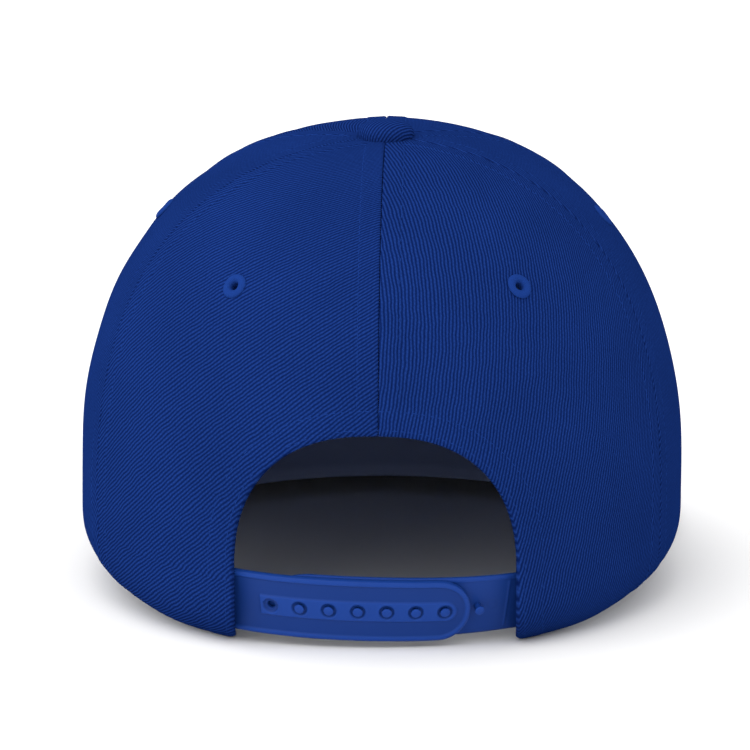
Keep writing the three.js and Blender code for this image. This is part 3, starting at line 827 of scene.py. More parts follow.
def panel_grid(panel, side_name):
    """Columns by distance from the seams and rows by height, as across and climb for every point."""
    side = SIDES[side_name]
    leaf = leaves[panel.name, side_name]
    middle_columns = int((96 if panel.name == "back" else 72) * FINE)
    top = leaf.up[-1]
    even_rows = int((top - FIRST_EVEN_ROW) / ROW_STEP * FINE)
    rows = np.concatenate([EDGE_ROWS, np.linspace(FIRST_EVEN_ROW, top, even_rows)])
    climb = np.interp(rows, leaf.up, leaf.climb)
    half = np.interp(climb, leaf.climb, leaf.half)[:, None]
    squeeze = np.minimum(1, half / NARROW)
    left = EDGE_COLUMNS * squeeze
    inner_edge = left[:, -1:]
    share = np.linspace(0, 1, middle_columns)[None, 1:-1]
    between = inner_edge + (2 * half - 2 * inner_edge) * share
    columns = np.concatenate([left, between, 2 * half - left[:, ::-1]], axis=1)
    across = columns / half - 1
    climb = np.broadcast_to(climb[:, None], across.shape).copy()
    middle = float(panel_angle(panel, side, np.zeros(1), np.zeros(1))[0])
    ratio = top_climb(panel_angle(panel, side, across, climb)) / top_climb(np.array([middle]))
    return across, np.where(climb > 0, climb * ratio, climb)


def raised_point(panel, side_name, across, climb):
    """A point of the cloth's face with its relief, and the outward direction there."""
    side = SIDES[side_name]
    point, angle = panel_skin(panel, side, across, climb)
    normal = crown_normal(angle, climb)
    left, right, up = panel_frame(panel, side_name, across, climb)
    relief = panel_relief(panel, side_name, point, left, right, up)
    return point + normal * relief[..., None], normal, point


def corner_distance(panel, side_name, across, climb):
    """Rounds the cloth's corner between the arch and the rim: within the radius of both edges it is
    radius - length of (radius - distance to the arch, radius - height up the cloth)."""
    point, _ = panel_skin(panel, SIDES[side_name], across, climb)
    beside = CORNER_RADIUS - arch_distance(point)
    under = CORNER_RADIUS - panel_frame(panel, side_name, across, climb)[2]
    keep = CORNER_RADIUS - np.hypot(np.maximum(beside, 0), np.maximum(under, 0))
    return np.where((beside > 0) & (under > 0), keep, 1e3)


def turned_cloth(place, turn):
    """Turns the cloth's millimetres, as a panel is turned on the roll before it is cut."""
    c, s = math.cos(turn), math.sin(turn)
    return place @ np.array([[c, s], [-s, c]])


def add_panel(panel, side_name):
    """One panel's cloth: a trimmed grid, raised outside by its relief and closed into a wall."""
    side = SIDES[side_name]
    across, climb = panel_grid(panel, side_name)
    seat = eyelet_seat(panel, side_name)
    has_arch = panel.name == "back"

    def measure(u, v):
        keep = keep_distance(panel_skin(panel, side, u, v)[0], seat, has_arch)
        return keep if not has_arch else np.minimum(keep, corner_distance(panel, side_name, u, v))

    across, climb, quads, triangles = trim_grid(across, climb, measure)
    outer, normal, base = raised_point(panel, side_name, across, climb)
    inner = base - normal * CLOTH
    left, right, up = panel_frame(panel, side_name, across, climb)
    cut_turn = CUT_TURN[side_name] if has_arch else 0.0
    uv = turned_cloth(np.stack([(left - right) / 2, up], axis=-1), cut_turn)
    uv += 200.0 * (PANELS.index(panel) + 1) * side
    flat = [a.reshape(-1, a.shape[-1]) for a in (outer, inner, uv)]
    (outer, inner, uv), quads, triangles = drop_unused(flat, quads, triangles)
    points, quads, triangles, uv, inside = wall(outer, inner, quads, triangles, uv, bulge=SEAM_EDGE - 0.04)
    name = f"cloth_{panel.name}_{side_name}"
    piece = add_piece(name, to_rest(points), quads, [twill, inner_cloth], triangles, uv, inside)
    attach(piece, "root")
    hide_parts(f"panel_{panel.name}_{side_name}")
    return piece


for panel in PANELS:
    for side_name in SIDES:
        made = add_panel(panel, side_name)
        print(made.name, len(made.data.polygons), "faces")

# %% [markdown]
# ## Stitches
# A stitch is a short piece of thread that comes out of the cloth, lies on it and dives back in. A curve
# with a dashed texture would look flat from the side. Each stitch here is a small capsule whose ends
# sink, and one template is carried to every place along a row at once.

# %% Stitches
STITCH = SimpleNamespace(length=2.0, radius=0.14, lift=0.01, sink=0.24)
STITCH_SIDES = 6
STITCH_STOPS = np.array([-1.0, -0.72, 0.0, 0.72, 1.0])
STITCH_FULLNESS = np.array([0.35, 0.85, 1.0, 0.85, 0.35])


def even_places(line, pitch, start=0.0, stop=0.0):
    """Numbers along a polyline, as fractional indices, at every pitch of its length."""
    length = np.concatenate([[0], np.cumsum(np.linalg.norm(np.diff(line, axis=0), axis=1))])
    places = np.arange(start + pitch / 2, length[-1] - stop, pitch)
    return np.interp(places, length, np.arange(len(line)))


def at_places(values, places):
    """The rows of an array at fractional indices."""
    index = np.arange(len(values))
    return np.stack([np.interp(places, index, values[:, k]) for k in range(values.shape[1])], axis=-1)


def stitch_mesh(line, normals, pitch=STITCH_PITCH, stitch=STITCH, start=0.0, stop=0.0):
    """Capsules along a line: centre + t * length / 2 along it, a ring of radius r round that axis, and
    a dip of sink * t^4 into the cloth."""
    places = even_places(line, pitch, start, stop)
    if not len(places):
        return np.zeros((0, 3)), np.zeros((0, 4), dtype=np.int64)
    centre = at_places(line, places)
    ahead = unit(at_places(np.gradient(line, axis=0), places))
    up = unit(at_places(normals, places))
    side = unit(np.cross(up, ahead))
    up = np.cross(ahead, side)
    turn = np.arange(STITCH_SIDES) * 2 * math.pi / STITCH_SIDES
    t = STITCH_STOPS[:, None]
    radius = (stitch.radius * STITCH_FULLNESS)[:, None]
    height = stitch.lift - stitch.sink * t**4 + radius * np.sin(turn)
    sideways = radius * np.cos(turn)
    forward = np.broadcast_to(t * stitch.length / 2, height.shape)
    points = (
        centre[:, None, None, :]
        + ahead[:, None, None, :] * forward[None, :, :, None]
        + side[:, None, None, :] * sideways[None, :, :, None]
        + up[:, None, None, :] * height[None, :, :, None]
    )
    ring = grid_quads(len(STITCH_STOPS), STITCH_SIDES, closed=True)[:, ::-1]
    last = (len(STITCH_STOPS) - 1) * STITCH_SIDES
    start_cap = np.array([[0, 1, 2, 3], [0, 3, 4, 5]])
    faces = np.concatenate([ring, start_cap, last + start_cap[:, ::-1]])
    each = len(STITCH_STOPS) * STITCH_SIDES
    all_faces = (faces[None] + np.arange(len(centre))[:, None, None] * each).reshape(-1, 4)
    return points.reshape(-1, 3), all_faces


def add_stitches(name, rows):
    """Joins rows of stitches into one piece."""
    points, faces, count = [], [], 0
    for row_points, row_faces in rows:
        points.append(row_points)
        faces.append(row_faces + count)
        count += len(row_points)
    piece = add_piece(name, np.concatenate(points), np.concatenate(faces), [thread])
    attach(piece, "root")
    return piece


def seam_row(panel, side_name, edge, distance):
    """The line at a distance from a panel's seam, from the rim or the arch up to the button."""
    leaf = leaves[panel.name, side_name]
    climb = np.linspace(-0.995, leaf.climb[-1], 700)
    half = np.interp(climb, leaf.climb, leaf.half)
    wide = half > distance
    climb, half = climb[wide], half[wide]
    across = edge * (1 - distance / half)
    line, normal, base = raised_point(panel, side_name, across, climb)
    keep = np.interp(climb, leaf.climb, leaf.up) > 1.0
    if panel.name == "back":
        keep &= arch_distance(base) > HEM_STITCHES[1] + 0.5
    return to_rest(line[keep]), to_rest(normal[keep]) - CROWN_PLACE


def arch_row(side_name, distance):
    """The line at a distance outside the arch on one back panel: the arch's own curve grown by that
    distance, laid on the panel by looking up the angle and the climb of each of its points."""
    panel = PANELS[2]
    side = SIDES[side_name]
    turn = np.linspace(0, math.pi / 2, 400)
    power = 2 / ARCH.roundness
    x = (ARCH.half_width + distance) * np.cos(turn) ** power
    z = ARCH.spring + (ARCH.rise + distance) * np.sin(turn) ** power
    low = np.linspace(1.5, ARCH.spring, 60)[:-1]
    x = np.concatenate([np.full(len(low), x[0]), x])
    z = np.concatenate([low, z])
    keep = x > 0.6
    x, z = x[keep] * side, z[keep]
    angle = math.pi - np.arcsin(np.clip(np.abs(x) / WIDEST.side, 0, 1))
    for _ in range(25):
        climb = climb_of(angle, z)
        wrong = crown_skin(angle, climb)[:, 0] - np.abs(x)
        angle = angle + wrong / WIDEST.side
    climb = climb_of(angle, z)
    first, second = panel_edges(panel, side, climb)
    across = 2 * (side * angle - first) / (second - first) - 1
    line, normal, _ = raised_point(panel, side_name, across, climb)
    return to_rest(line), to_rest(normal) - CROWN_PLACE


crown_rows = []
for panel in PANELS:
    for side_name in SIDES:
        for edge in (-1, 1):
            crown_rows.append(stitch_mesh(*seam_row(panel, side_name, edge, SEAM_STITCH)))
for side_name in SIDES:
    for distance in HEM_STITCHES:
        crown_rows.append(stitch_mesh(*arch_row(side_name, distance)))
crown_stitches = add_stitches("crown_stitches", crown_rows)
print("crown stitches:", len(crown_stitches.data.polygons), "faces")

# %% [markdown]
# ## Eyelets
# Each eyelet is a small hole worked round with thread, like a buttonhole. The threads lie side by side
# and run from the outer edge over a soft ring into the hole. A plain torus would look like metal, so
# the ring is turned from a rounded profile and its surface waves once for each thread.

# %% Eyelets
THREAD_WAVE = 0.085


def eyelet_profile():
    """A closed loop of radius and height: over the cloth, through the hole and under the cloth."""
    e = EYELET
    loop = [
        (e.neck, 0.0), (e.flange - 0.1, -0.22), (e.flange, 0.05), (e.flange - 0.15, 0.4), (3.35, 0.68),
        (2.85, 0.86), (2.3, 0.9), (1.8, 0.78), (1.4, 0.45), (e.hole, -0.1), (e.hole, -1.0),
        (e.hole, -1.9), (1.4, -2.5), (2.0, -2.8), (2.8, -2.75), (e.inner_flange, -2.4),
        (e.inner_flange - 0.1, -1.9), (e.neck, -1.9),
    ]
    return np.array(loop)


def smooth_loop(loop, count):
    """Rounds a closed loop: a Fourier series of its corners, spaced by length, with the high terms
    faded by exp(-(k / 11)^2)."""
    closed = np.concatenate([loop, loop[:1]])
    length = np.concatenate([[0], np.cumsum(np.linalg.norm(np.diff(closed, axis=0), axis=1))])
    even = np.linspace(0, length[-1], 256, endpoint=False)
    signal = np.interp(even, length, closed[:, 0]) + 1j * np.interp(even, length, closed[:, 1])
    terms = np.fft.fft(signal)
    order = np.fft.fftfreq(256, 1 / 256)
    signal = np.fft.ifft(terms * np.exp(-((order / 11) ** 2)))[:: 256 // count]
    return np.stack([signal.real, signal.imag], axis=-1)


def frame_at(direction):
    """Two directions square to a given one."""
    direction = unit(direction)
    side = unit(np.cross([0.0, 0.0, 1.0], direction))
    return side, np.cross(direction, side), direction


def add_eyelet(panel, side_name):
    centre, direction = eyelet_seat(panel, side_name)
    side, up, out = frame_at(direction)
    profile = smooth_loop(eyelet_profile(), 32)
    steps = EYELET.threads * (5 if FINE == 1 else 3)
    turn = np.arange(steps) * 2 * math.pi / steps
    rng = np.random.default_rng(31 + 2 * PANELS.index(panel) + SIDES[side_name])
    tangent = np.roll(profile, -1, axis=0) - np.roll(profile, 1, axis=0)
    bend = unit(np.stack([tangent[:, 1], -tangent[:, 0]], axis=-1))
    middle = profile.mean(axis=0)
    bend *= np.sign(((profile - middle) * bend).sum(axis=1).mean())
    slant = 0.16 * (profile[:, 0] - EYELET.hole)
    wave = np.abs(np.cos(EYELET.threads / 2 * (turn[:, None] + slant[None, :]))) ** 0.7
    jitter = np.repeat(rng.uniform(0.7, 1.2, EYELET.threads), steps // EYELET.threads)[:, None]
    swell = THREAD_WAVE * (wave * jitter - 0.6) + 0.05 * np.sin(3 * turn + 1)[:, None]
    radius = profile[None, :, 0] + swell * bend[None, :, 0]
    height = profile[None, :, 1] + swell * bend[None, :, 1]
    points = (
        centre
        + (radius * np.cos(turn)[:, None])[..., None] * side
        + (radius * np.sin(turn)[:, None])[..., None] * up
        + height[..., None] * out
    )
    rows, columns = points.shape[:2]
    quads = grid_quads(rows + 1, columns, closed=True) % (rows * columns)
    points = points.reshape(-1, 3)
    if volume_of(points, quads) < 0:
        quads = quads[:, ::-1]
    piece = add_piece(f"thread_ring_{panel.name}_{side_name}", to_rest(points), quads, [thread])
    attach(piece, "root")
    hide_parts(f"eyelet_{panel.name}_{side_name}")
    return piece


def volume_of(points, quads):
    """Six times the enclosed volume: the sum of a . (b x c) over the triangles."""
    a, b, c, d = (points[quads[:, k]] for k in range(4))
    return (a * np.cross(b, c)).sum() + (a * np.cross(c, d)).sum()


for panel in PANELS:
    for side_name in SIDES:
        made = add_eyelet(panel, side_name)
print("eyelets:", 2 * len(PANELS), "rings of", EYELET.threads, "threads")

# %% [markdown]
# ## Button
# The button is a metal cap covered with the crown's own cloth, pulled tight and crimped underneath.
# Half a sphere would be too tall, so its profile is a low superellipse. The cloth's millimetres run
# along the dome, so the wales stay even down to the edge.

# %% Button
BUTTON = SimpleNamespace(radius=8.3, height=4.5, roundness=2.6, tuck=0.9)


def add_button():
    """A turned dome: radius * cos^(2/n) and height * sin^(2/n), closed by a tucked base."""
    power = 2 / BUTTON.roundness
    rise = np.linspace(math.pi / 2, 0, int(34 * FINE) + 2)[1:]
    radius = BUTTON.radius * np.cos(rise) ** power
    height = GAP + BUTTON.height * np.sin(rise) ** power
    tuck_turn = np.linspace(0, math.pi / 2, 7)[1:]
    radius = np.concatenate([radius, BUTTON.radius - BUTTON.tuck * (1 - np.cos(tuck_turn))])
    height = np.concatenate([height, GAP - BUTTON.tuck * np.sin(tuck_turn)])
    radius = np.concatenate([radius, [4.0, 0.05]])
    height = np.concatenate([height, [GAP - BUTTON.tuck, GAP - BUTTON.tuck]])
    columns = int(128 * FINE)
    turn = np.arange(columns) * 2 * math.pi / columns
    strides = np.hypot(np.diff(radius), np.diff(height))
    length = np.concatenate([[radius[0]], radius[0] + np.cumsum(strides)])
    pleat = np.sin(23 * turn) + 0.6 * np.sin(37 * turn + 1)
    near_edge = np.exp(-((length - BUTTON.radius * 1.25) / 1.2) ** 2)
    wavy = radius[:, None] * (1 + 0.006 * near_edge[:, None] * pleat)
    level = np.broadcast_to(height[:, None], wavy.shape)
    points = np.stack([wavy * np.cos(turn), wavy * np.sin(turn), level], axis=-1)
    uv = np.stack([length[:, None] * np.cos(turn), length[:, None] * np.sin(turn)], axis=-1)
    rows = len(radius)
    quads = grid_quads(rows, columns, closed=True)[:, ::-1]
    top = np.array([[0.0, 0.0, GAP + BUTTON.height]])
    foot = np.array([[0.0, 0.0, height[-1]]])
    ring = np.arange(columns)
    after = (ring + 1) % columns
    top_id, foot_id = rows * columns, rows * columns + 1
    last = (rows - 1) * columns
    cap = np.stack([ring, after, np.full(columns, top_id)], axis=-1)
    base = np.stack([last + after, last + ring, np.full(columns, foot_id)], axis=-1)
    points = np.concatenate([points.reshape(-1, 3), top, foot])
    points[:, :2] += APEX
    points[:, 2] += CROWN_HEIGHT
    uv = np.concatenate([uv.reshape(-1, 2), [[0.0, 0.0]], [[0.0, 0.0]]])
    piece = add_piece("button_cloth", to_rest(points), quads, [twill], np.concatenate([cap, base]), uv)
    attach(piece, "root")
    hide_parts("button")
    return piece


button = add_button()
print("button:", len(button.data.polygons), "faces")

# %% [markdown]
# ## The snap strap
# Both halves are moulded flat and bend to the head. The outer one carries a raised border, a raised band
# and seven countersunk holes; the inner one has seven mushroom-shaped pins. The first hole stays
# empty and the last pin stands free.
# Each half is drawn flat, by its length along the wall and its height, as a height map with an
# outline, and then laid on the strap's own face, which is taut between its roots.

# %% Strap measures
STRAP_LEAN = math.radians(1.2)
STRAP_TAUT = 3.6
STRAP = SimpleNamespace(
    low=3.6, height=20.0, base=1.2, border=0.5, border_width=1.5, end_radius=9.5, hidden=13.0
)
SNAP = SimpleNamespace(count=7, pitch=8.8, free_pitch=10.5, first=31.6, end_margin=7.6, pin_end_margin=10.9)
HOLE = SimpleNamespace(throat=1.3, sink=2.35, sink_floor=2.1, sink_depth=0.7)
PIN = SimpleNamespace(neck=1.0, head=1.4, head_start=1.6, flare=0.15, dome=0.25, height=2.5)
PIN_END_LENGTH = 15.0
HOLE_BAND = SimpleNamespace(half=3.25, square_margin=3.2, round_margin=3.6)
HOLE_HALF_CELL = 0.26 / FINE
PIN_HALF_CELL = 0.36 / FINE
hole_lengths = SNAP.first - SNAP.pitch * np.arange(SNAP.count)
pin_lengths = np.append(hole_lengths[1:], hole_lengths[-1] - SNAP.free_pitch)
outer_tip = hole_lengths[-1] - SNAP.end_margin
throat_floor = STRAP.border - HOLE.sink_depth
strap_middle = STRAP.low + STRAP.height / 2
hole_back = STRAP.border + STRAP.base
pin_face = hole_back + GAP

walk_angle = np.linspace(math.pi, math.pi / 2, 400)
walk = wall_point(walk_angle, np.full(400, strap_middle), np.full(400, CLOTH))
walk_length = np.concatenate([[0], np.cumsum(np.linalg.norm(np.diff(walk, axis=0), axis=1))])
arch_end = np.interp(ARCH.half_width, oval(walk_angle, WIDEST)[0], walk_length)
strap_root = arch_end + STRAP.hidden


def back_angle(length):
    """The angle at a length along the back wall, positive towards the wearer's left."""
    angle = np.interp(np.abs(length), walk_length, walk_angle)
    return np.where(length < 0, -angle, angle)


def strap_frame(length):
    """Middle of the outer face at a length, the direction up it and the one square out of it. The face
    is straight from edge to edge. Its roots lie just inside the wall, and between them it is taut and
    cuts inside the wall's curve by taut * cos^2 of the share of the way to the root."""
    angle = back_angle(length)
    middle = strap_middle + length * math.tan(STRAP_LEAN)
    share = np.minimum(np.abs(length) / strap_root, 1.0)
    inset = CLOTH + GAP + STRAP_TAUT * np.cos(math.pi / 2 * share) ** 2
    low = wall_point(angle, middle - STRAP.height / 2, inset)
    high = wall_point(angle, middle + STRAP.height / 2, inset)
    up = unit(high - low)
    along = np.cross([0.0, 0.0, 1.0], crown_normal(angle, np.full(np.shape(angle), -1.0)))
    return (low + high) / 2, up, unit(np.cross(along, up))


def lay_on_wall(length, height, depth):
    """A point of the strap: its middle line plus height along up less depth along out."""
    middle, up, out = strap_frame(length)
    return middle + up * height[..., None] - out * depth[..., None]


def bar_distance(length, height, tip, half, radius, towards, end=None):
    """Signed distance from a bar with a round tip: the length of (past the tip's centre, above the
    flat part) less the radius. It is negative inside. A longer end squeezes its lengths first."""
    end = radius if end is None else end
    past = np.maximum((tip + towards * end - length) * towards, 0) * radius / end
    above = np.maximum(np.abs(height) - (half - radius), 0)
    return np.hypot(past, above) - radius


print("strap: holes at", hole_lengths, "and pins at", pin_lengths, "mm from the middle")

# %% The outer half with its holes
def hole_strap_relief(length, height):
    """Height over the recessed floor: border and band stand up, each hole sinks to its throat."""
    edge = -bar_distance(length, height, outer_tip, STRAP.height / 2, STRAP.end_radius, 1)
    border = 1 - smooth((edge - STRAP.border_width + 0.15) / 0.3)
    band_tip = hole_lengths[-1] - HOLE_BAND.round_margin
    band = bar_distance(length, height, band_tip, HOLE_BAND.half, HOLE_BAND.half, 1)
    square = length - (hole_lengths[0] + HOLE_BAND.square_margin)
    band = np.maximum(band, square)
    relief = STRAP.border * np.maximum(border, 1 - smooth((band + 0.15) / 0.3))
    radial = np.min(np.hypot(length[..., None] - hole_lengths, height[..., None]), axis=-1)
    lip = 0.1 * np.exp(-(((radial - HOLE.sink - 0.4) / 0.22) ** 2))
    sink = smooth((HOLE.sink - radial) / (HOLE.sink - HOLE.sink_floor))
    relief = (relief + lip) * (1 - sink) + throat_floor * sink
    return relief - 0.22 * np.exp(-((edge / 0.35) ** 2))


def strap_sheet(low, high, measure, relief, face, back, cell):
    """A flat grid trimmed to its outline and holes, laid in place as an outer and an inner sheet. Its
    UV map marks what stands up, as a share of the border's height, for a painted highlight there."""
    half = STRAP.height / 2 + 0.5
    length = np.arange(low - 1, high, cell)
    height = np.arange(-half, half, cell)
    length, height = np.meshgrid(length[::-1], height)
    length, height, quads, triangles = trim_flat(length, height, measure)
    raised = relief(length, height)
    outer = lay_on_wall(length, height, face + STRAP.border - raised)
    inner = lay_on_wall(length, height, np.full(length.shape, back))
    highlight_mask = np.stack([raised / STRAP.border, 0 * raised], axis=-1)
    flat = [a.reshape(-1, a.shape[-1]) for a in (outer, inner, highlight_mask)]
    (outer, inner, highlight_mask), quads, triangles = drop_unused(flat, quads, triangles)
    return wall(outer, inner, quads, triangles, highlight_mask, bulge=0.12, steps=5)


def trim_flat(length, height, measure):
    """The same trimming as for the panels, with equal steps both ways."""
    wide, high, quads, triangles = trim_grid(length, height / 3, lambda u, v: measure(u, v * 3))
    return wide, high * 3, quads, triangles


def hole_strap_measure(length, height):
    """Positive inside the outline and outside the holes' throats."""
    outline = -bar_distance(length, height, outer_tip, STRAP.height / 2, STRAP.end_radius, 1)
    radial = np.min(np.hypot(length[..., None] - hole_lengths, height[..., None]), axis=-1)
    return np.minimum(outline, radial - HOLE.throat)


points, quads, triangles, uv, _ = strap_sheet(
    outer_tip, strap_root, hole_strap_measure, hole_strap_relief, 0.0, hole_back, HOLE_HALF_CELL
)
strap_holes_piece = add_piece("strap_outer_half", to_rest(points), quads, [plastic], triangles, uv)
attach(strap_holes_piece, "root")
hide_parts("strap_holes")
print("outer half:", len(strap_holes_piece.data.polygons), "faces")

# %% The inner half with its pins
pin_tip = pin_lengths[0] + SNAP.pin_end_margin
GROOVE_AT = -41.2
MARK_AT = -36.6


def pin_strap_measure(length, height):
    """Positive inside the outline."""
    return -bar_distance(length, height, pin_tip, STRAP.height / 2, STRAP.end_radius, -1, PIN_END_LENGTH)


def pin_strap_relief(length, height):
    """Flat, with rounded edges, a low lip along its top edge, a moulded line near its root and a faint
    ring where it left the mould."""
    edge = pin_strap_measure(length, height)
    inside = smooth((8.4 - np.abs(height)) / 0.6)
    line = 0.26 * np.exp(-(((length - GROOVE_AT) / 0.25) ** 2)) * inside
    ring = -0.1 * np.exp(-(((np.hypot(length - MARK_AT, height) - 1.5) / 0.2) ** 2))
    lip = 0.22 * smooth((height - STRAP.height / 2 + 1.5) / 0.3)
    return STRAP.border - 0.3 + line + ring + lip - 0.2 * np.exp(-((edge / 0.35) ** 2))


def pin_mesh(length):
    """A turned mushroom: neck, flare and a low dome, standing square to the wall."""
    rise = np.linspace(0, math.pi / 2, 9)[:-1]
    neck = [[PIN.neck, height] for height in (-0.6, 0.3, PIN.head_start)]
    start = np.array(neck + [[PIN.head, PIN.head_start + PIN.flare]])
    dome = np.stack([PIN.head * np.cos(rise), PIN.height - PIN.dome * (1 - np.sin(rise))], axis=-1)
    profile = np.concatenate([start, dome, [[0.02, PIN.height]]])
    columns = 28
    turn = np.arange(columns) * 2 * math.pi / columns
    place = np.array([length])
    centre = lay_on_wall(place, np.zeros(1), np.full(1, pin_face))[0]
    side, up, out = frame_at(strap_frame(place)[2][0])
    points = (
        centre
        + (profile[:, :1] * np.cos(turn))[..., None] * side
        + (profile[:, :1] * np.sin(turn))[..., None] * up
        + np.broadcast_to(profile[:, 1:], (len(profile), columns))[..., None] * out
    )
    quads = grid_quads(len(profile), columns, closed=True)
    top = (len(profile) - 1) * columns
    ring = np.arange(columns)
    caps = np.concatenate([fan_quads(ring[::-1]), fan_quads(top + ring)])
    return points.reshape(-1, 3), np.concatenate([quads, caps])


def fan_quads(ring):
    """Closes an even ring with quads between its two halves."""
    half = len(ring) // 2
    k = np.arange(half - 1)
    return np.stack([ring[k], ring[k + 1], ring[len(ring) - 2 - k], ring[len(ring) - 1 - k]], axis=-1)


points, quads, triangles, uv, _ = strap_sheet(
    -strap_root,
    pin_tip + 1.3,
    pin_strap_measure,
    pin_strap_relief,
    pin_face,
    pin_face + STRAP.base,
    PIN_HALF_CELL,
)
for length in pin_lengths:
    pin_points, pin_quads = pin_mesh(length)
    quads = np.concatenate([quads, pin_quads + len(points)])
    points = np.concatenate([points, pin_points])
    # the pins take the full painted highlight
    uv = np.concatenate([uv, np.full((len(pin_points), 2), 1.0)])
strap_pins_piece = add_piece("strap_inner_half", to_rest(points), quads, [plastic], triangles, uv)
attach(strap_pins_piece, "root")
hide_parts("strap_pins")
print("inner half:", len(strap_pins_piece.data.polygons), "faces with", len(pin_lengths), "pins")

# %% [markdown]
# ## Peak
# The peak is a stiff board in twill, sewn with rows of stitches that follow its outer edge. It leaves
# the front of the rim and slopes gently down, with its middle a little higher than its sides. Its
# surface is ruled: straight lines join the rim to the outer edge, and a sag is laid over them.

# %% Peak surface
PEAK = SimpleNamespace(
    length=70.0, half_width=89.0, thickness=3.0, root=76.0, widest_ahead=36.0, roundness=2.5
)
PEAK_SLOPE = math.radians(3.5)
PEAK_ARCH = SimpleNamespace(drop=5.6, at=80.0)
PEAK_EAR = 1.0
PEAK_BLEND = 50.0
PEAK_ROWS = 8
PEAK_ROW_STEP = 6.6


def rim_at(angle, inset):
    """A point of the rim, moved level towards the inside, as the cap rests."""
    return to_rest(wall_point(angle, rim_height(angle), inset))


def spread_evenly(line, count):
    """Points at equal lengths along a polyline."""
    length = np.concatenate([[0], np.cumsum(np.linalg.norm(np.diff(line, axis=0), axis=1))])
    even = np.linspace(0, length[-1], count)
    return np.stack([np.interp(even, length, line[:, k]) for k in range(line.shape[1])], axis=-1)


def peak_outline(count):
    """From the left end round the front to the right end: a quarter ellipse out of the crown, then a
    superellipse round the front, and the same mirrored."""
    end = rim_at(np.array([math.radians(PEAK.root)]), np.zeros(1))[0]
    tip = rim_at(np.zeros(1), np.zeros(1))[0]
    power = 2 / PEAK.roundness
    side_y = end[1] - PEAK.widest_ahead
    front_y = tip[1] - PEAK.length
    start = end[0] + PEAK_EAR
    turn = np.linspace(0, math.pi / 2, 400)
    ear_x = start + (PEAK.half_width - start) * np.sin(turn)
    ear_y = side_y + (end[1] - side_y) * np.cos(turn)
    ear = np.stack([ear_x, ear_y], axis=-1)
    curve_x = PEAK.half_width * np.cos(turn) ** power
    curve_y = side_y - (side_y - front_y) * np.sin(turn) ** power
    curve = np.stack([curve_x, curve_y], axis=-1)
    left = np.concatenate([ear[:-1], curve])
    right = left[::-1] * np.array([-1, 1])
    return spread_evenly(np.concatenate([left, right[1:]]), count)


def peak_sag(x, y, front_y):
    """The slope from the front edge back, less the fall from the middle to the sides."""
    return math.tan(PEAK_SLOPE) * (y - front_y) - PEAK_ARCH.drop * (x / PEAK_ARCH.at) ** 2


peak_columns = int(260 * FINE) | 1
outline = peak_outline(peak_columns)
root_angle = np.linspace(math.radians(PEAK.root), -math.radians(PEAK.root), peak_columns)
peak_root = rim_at(root_angle, np.full(peak_columns, CLOTH))
peak_front = outline[peak_columns // 2, 1]
peak_lowest = peak_sag(outline[:, 0], outline[:, 1], peak_front).min()


def peak_top(column, out):
    """The upper face at a fractional column and a share of the way out: sag plus what lifts the root
    to the rim, fading as (1 - distance / blend)^2."""
    start = at_places(peak_root, column)
    edge = at_places(outline, column)
    x = start[:, 0] + (edge[:, 0] - start[:, 0]) * out
    y = start[:, 1] + (edge[:, 1] - start[:, 1]) * out
    root_sag = peak_sag(start[:, 0], start[:, 1], peak_front) - peak_lowest
    lift = start[:, 2] - GAP - PEAK.thickness - root_sag
    ahead = np.hypot(x - start[:, 0], y - start[:, 1])
    share = np.maximum(1 - ahead / PEAK_BLEND, 0) ** 2
    z = peak_sag(x, y, peak_front) - peak_lowest + lift * share + PEAK.thickness
    return np.stack([x, y, z], axis=-1)


def peak_row_line(distance):
    """The line at a distance inside the outer edge, and the share of the way out that gives it."""
    column = np.linspace(0, peak_columns - 1, 1200)
    start, edge = at_places(peak_root, column), at_places(outline, column)
    reach = edge - start[:, :2]
    along = unit(np.gradient(edge, axis=0))
    square = np.abs(reach[:, 0] * along[:, 1] - reach[:, 1] * along[:, 0])
    out = 1 - distance / np.maximum(square, 1e-6)
    keep = out * np.linalg.norm(reach, axis=1) > 3.0
    return column[keep], out[keep]


def add_peak():
    """Two faces over the same plan, drawn together at the edge by half a millimetre each."""
    even_rows = np.linspace(0, 1, int(64 * FINE))
    rows = np.unique(np.concatenate([even_rows, 1 - np.array([0.002, 0.006, 0.012, 0.02])]))
    column, out = np.meshgrid(np.arange(peak_columns, dtype=float), rows)
    top = peak_top(column.ravel(), out.ravel())
    ruling = at_places(outline, column.ravel()) - at_places(peak_root, column.ravel())[:, :2]
    from_edge = (1 - out.ravel()) * np.linalg.norm(ruling, axis=1)
    roll = np.exp(-((from_edge / 0.9) ** 2))
    outer = top.copy()
    outer[:, 2] -= 0.5 * roll
    inner = top.copy()
    inner[:, 2] += 0.5 * roll - PEAK.thickness
    uv = top[:, :2].copy()
    quads = grid_quads(len(rows), peak_columns)
    if facing_down(outer, quads):
        quads = quads[:, ::-1]
    points, quads, triangles, uv, _ = wall(outer, inner, quads, NO_TRIANGLES, uv, bulge=0.6, steps=6)
    piece = add_piece("peak_cloth", points, quads, [peak_twill], triangles, uv)
    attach(piece, "root")
    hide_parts("peak")
    return piece


def facing_down(points, quads):
    """Whether the quads of an upper face wind so that it looks down."""
    a, b, c = (points[quads[:, k]] for k in range(3))
    return np.cross(b - a, c - b)[:, 2].sum() < 0


peak = add_peak()
peak_rows = []
for row in range(PEAK_ROWS):
    column, out = peak_row_line(PEAK_ROW_STEP * (row + 1))
    line = peak_top(column, out)
    upwards = np.broadcast_to([0.0, 0.0, 1.0], line.shape)
    peak_rows.append(stitch_mesh(line, upwards, pitch=3.0))
    below = line - np.array([0.0, 0.0, PEAK.thickness])
    peak_rows.append(stitch_mesh(below, -upwards, pitch=3.0))
peak_stitches = add_stitches("peak_stitches", peak_rows)
print("peak:", len(peak.data.polygons), "faces, and stitches:", len(peak_stitches.data.polygons), "faces")

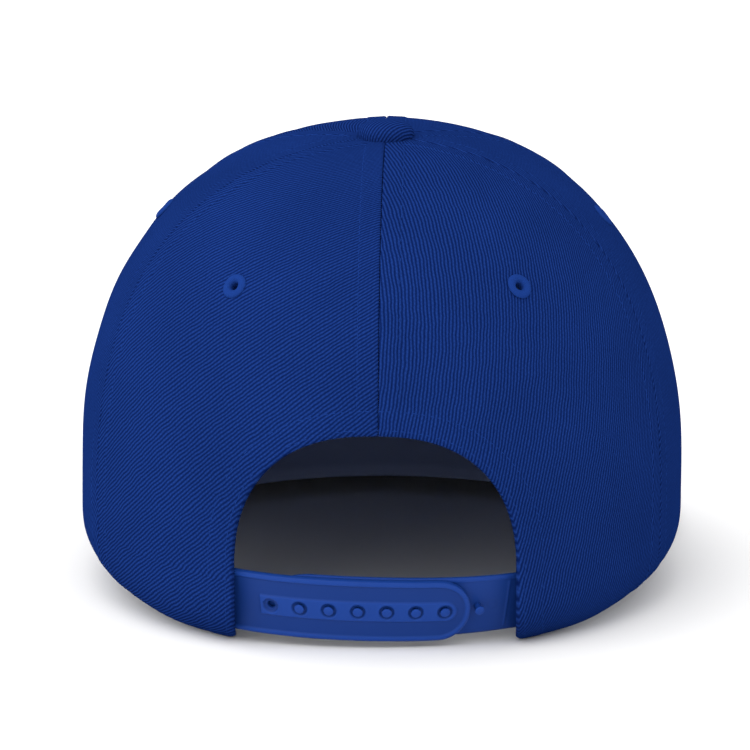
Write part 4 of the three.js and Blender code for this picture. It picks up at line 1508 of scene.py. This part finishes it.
# %% [markdown]
# ## Sweatband
# Inside the rim a soft band keeps the cloth off the head. It is sewn to the rim at its lower edge and
# free at its upper edge. At the front it hangs a little below the rim, where it hides the root of the
# peak, and at the back it ends beside the roots of the strap. It is made as the panels are: a sheet on
# the crown's wall, moved inwards.

# %% Sweatband
SWEATBAND = SimpleNamespace(height=32.0, thickness=1.2, clearance=2.0)
SWEATBAND_DROP = 3.3


def add_sweatband():
    """The band from its bottom, rim - drop at the front, up to its height. What lies under the rim
    hangs straight down and 0.3 mm further in for each millimetre."""
    end = float(back_angle(np.array([strap_root + SWEATBAND.clearance]))[0])
    angle, share = np.meshgrid(np.linspace(-end, end, int(240 * FINE)), np.linspace(0, 1, int(44 * FINE)))
    rim = rim_height(angle)
    bottom = rim - SWEATBAND_DROP * smooth((np.cos(angle) - math.cos(math.radians(78))) / 0.2)
    height = bottom + (SWEATBAND.height - bottom) * share
    under = np.maximum(rim - height, 0)
    puff = 0.35 * np.sin(math.pi * share) ** 0.7
    inset = CLOTH + GAP + 0.3 * under
    outer = wall_point(angle, height + under, inset)
    inner = wall_point(angle, height + under, inset + SWEATBAND.thickness + puff - 0.2)
    outer[..., 2] -= under
    inner[..., 2] -= under
    uv = np.stack([angle * 90, height], axis=-1).reshape(-1, 2)
    quads = grid_quads(*angle.shape)
    points, quads, triangles, uv, _ = wall(
        outer.reshape(-1, 3), inner.reshape(-1, 3), quads, NO_TRIANGLES, uv, bulge=0.3, steps=4
    )
    piece = add_piece("sweatband_cloth", to_rest(points), quads, [band_cloth], triangles, uv)
    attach(piece, "root")
    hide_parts("sweatband")
    return piece


sweatband = add_sweatband()
print("sweatband:", len(sweatband.data.polygons), "faces")

# %% [markdown]
# ## Finish
# The finish counts about how many triangles the shown pieces have.

# %% Finish
meshes = [piece.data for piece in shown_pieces() if piece.type == "MESH"]
total = sum(len(mesh.loop_triangles) or 2 * len(mesh.polygons) for mesh in meshes)
print("about", total, "triangles in all")
